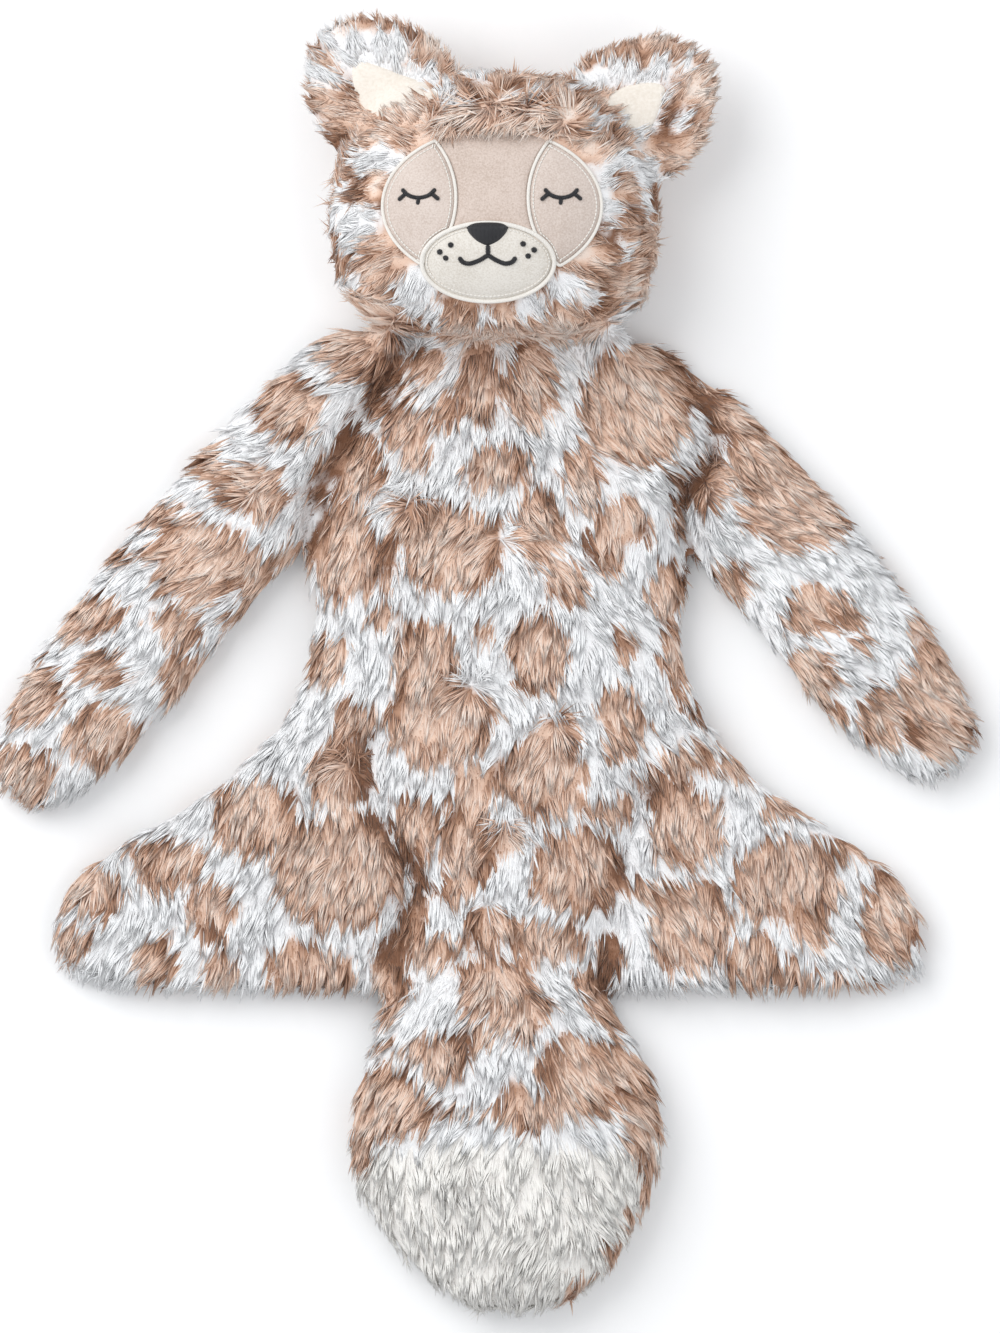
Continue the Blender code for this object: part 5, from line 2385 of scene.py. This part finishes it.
    def bend(self, region: Region) -> tuple[Vector, Vector]:
        """Return where a limb begins to follow its own body and where it does so fully.

        Args:
            region: the limb.

        Returns:
            Both places in metres.
        """
        seam = self.skin.seams[region]
        if region is Region.HEAD:
            return Vector((seam.base.x, *self.neck_start)), Vector((seam.base.x, *self.neck_end))
        start = seam.base.copy()
        reach = self.ear_bend if region in EARS else self.arm_bend
        if region is Region.TAIL:
            start = start + seam.outward * self.tail_start * MM
            reach = self.tail_bend
        return start, start + seam.outward * reach


@dataclass
class Studio:
    """Plain pale floor, soft light and the camera straight above."""

    height: float = 15.0
    picture: float = 1333 * GRID
    aim: Row = (500, 666.5)
    sensor: float = 36
    sight: float = 100
    floor_half: float = 4.0
    sky: Row = (0.95, 0.97, 1.0)
    sky_strength: float = 0.735
    lamp_size: float = 1.8
    key_at: Row = (-1.1, 0.9, 1.5)
    key_power: float = 22.8
    fill_at: Row = (1.3, -0.4, 1.8)
    fill_power: float = 5.6

    def build(self) -> None:
        """Make the floor, the lights, the world and the camera."""
        scene = bpy.context.scene
        scene.view_settings.view_transform = "Standard"
        scene.world = self.world()
        scene.camera = self.camera()
        floor = self.floor()
        key = self.light("key", self.key_at, self.key_power)
        fill = self.light("fill", self.fill_at, self.fill_power)

    def world(self) -> bpy.types.World:
        """Make the even light of the room.

        Returns:
            The world.
        """
        world = bpy.data.worlds.new("soft_world")
        world.use_nodes = True
        inputs = world.node_tree.nodes["Background"].inputs
        inputs[0].default_value = (*self.sky, 1)
        inputs[1].default_value = self.sky_strength
        return world

    def camera(self) -> bpy.types.Object:
        """Hang the camera over the toy, high enough for an almost flat view.

        Returns:
            The camera.
        """
        eye = bpy.data.cameras.new("camera")
        eye.sensor_fit = "VERTICAL"
        eye.sensor_height = self.sensor
        eye.lens = self.sensor * self.height / self.picture
        eye.clip_end = self.sight
        camera = bpy.data.objects.new("camera", eye)
        bpy.context.scene.collection.objects.link(camera)
        camera.location = (*plan(*self.aim), self.height)
        return camera

    def floor(self) -> bpy.types.Object:
        """Make the pale floor that keeps the toy's shadow.

        Returns:
            The floor.
        """
        half = self.floor_half
        corners = [(-half, -half, 0), (half, -half, 0), (half, half, 0), (-half, half, 0)]
        mesh = bpy.data.meshes.new("floor")
        mesh.from_pydata(corners, [], [(0, 1, 2, 3)])
        mesh.materials.append(self.floor_finish())
        return place("floor", mesh)

    def floor_finish(self) -> bpy.types.Material:
        """Make a finish that looks white but throws less light back at the toy.

        Returns:
            The material.
        """
        sheet = Shader("floor")
        path = sheet.node("ShaderNodeLightPath")
        seen = sheet.math("MAXIMUM", path.outputs["Is Camera Ray"], path.outputs["Is Glossy Ray"])
        seen = sheet.math("MAXIMUM", seen, path.outputs["Is Transmission Ray"])
        sheet.finish(sheet.mix(seen, (0.8, 0.8, 0.8), (1.0, 1.0, 1.0)), roughness=0.95, specular=0.0)
        return sheet.material

    def light(self, name: str, place_at: Row, power: float) -> bpy.types.Object:
        """Hang one round lamp that faces the toy.

        Args:
            name: its name.
            place_at: its place in metres.
            power: its power in watts.

        Returns:
            The lamp.
        """
        lamp = bpy.data.lights.new(name, "AREA")
        lamp.shape = "DISK"
        lamp.size = self.lamp_size
        lamp.energy = power
        obj = bpy.data.objects.new(name, lamp)
        bpy.context.scene.collection.objects.link(obj)
        obj.location = place_at
        obj.rotation_euler = (-Vector(place_at)).to_track_quat("-Z", "Y").to_euler()
        return obj


def main() -> None:
    """Build the toy and its setting."""
    logging.basicConfig(level=logging.INFO, format="%(message)s")
    for piece in Toy(frame).build():
        report(piece)
    Studio().build()


if __name__ == "__main__":
    main()
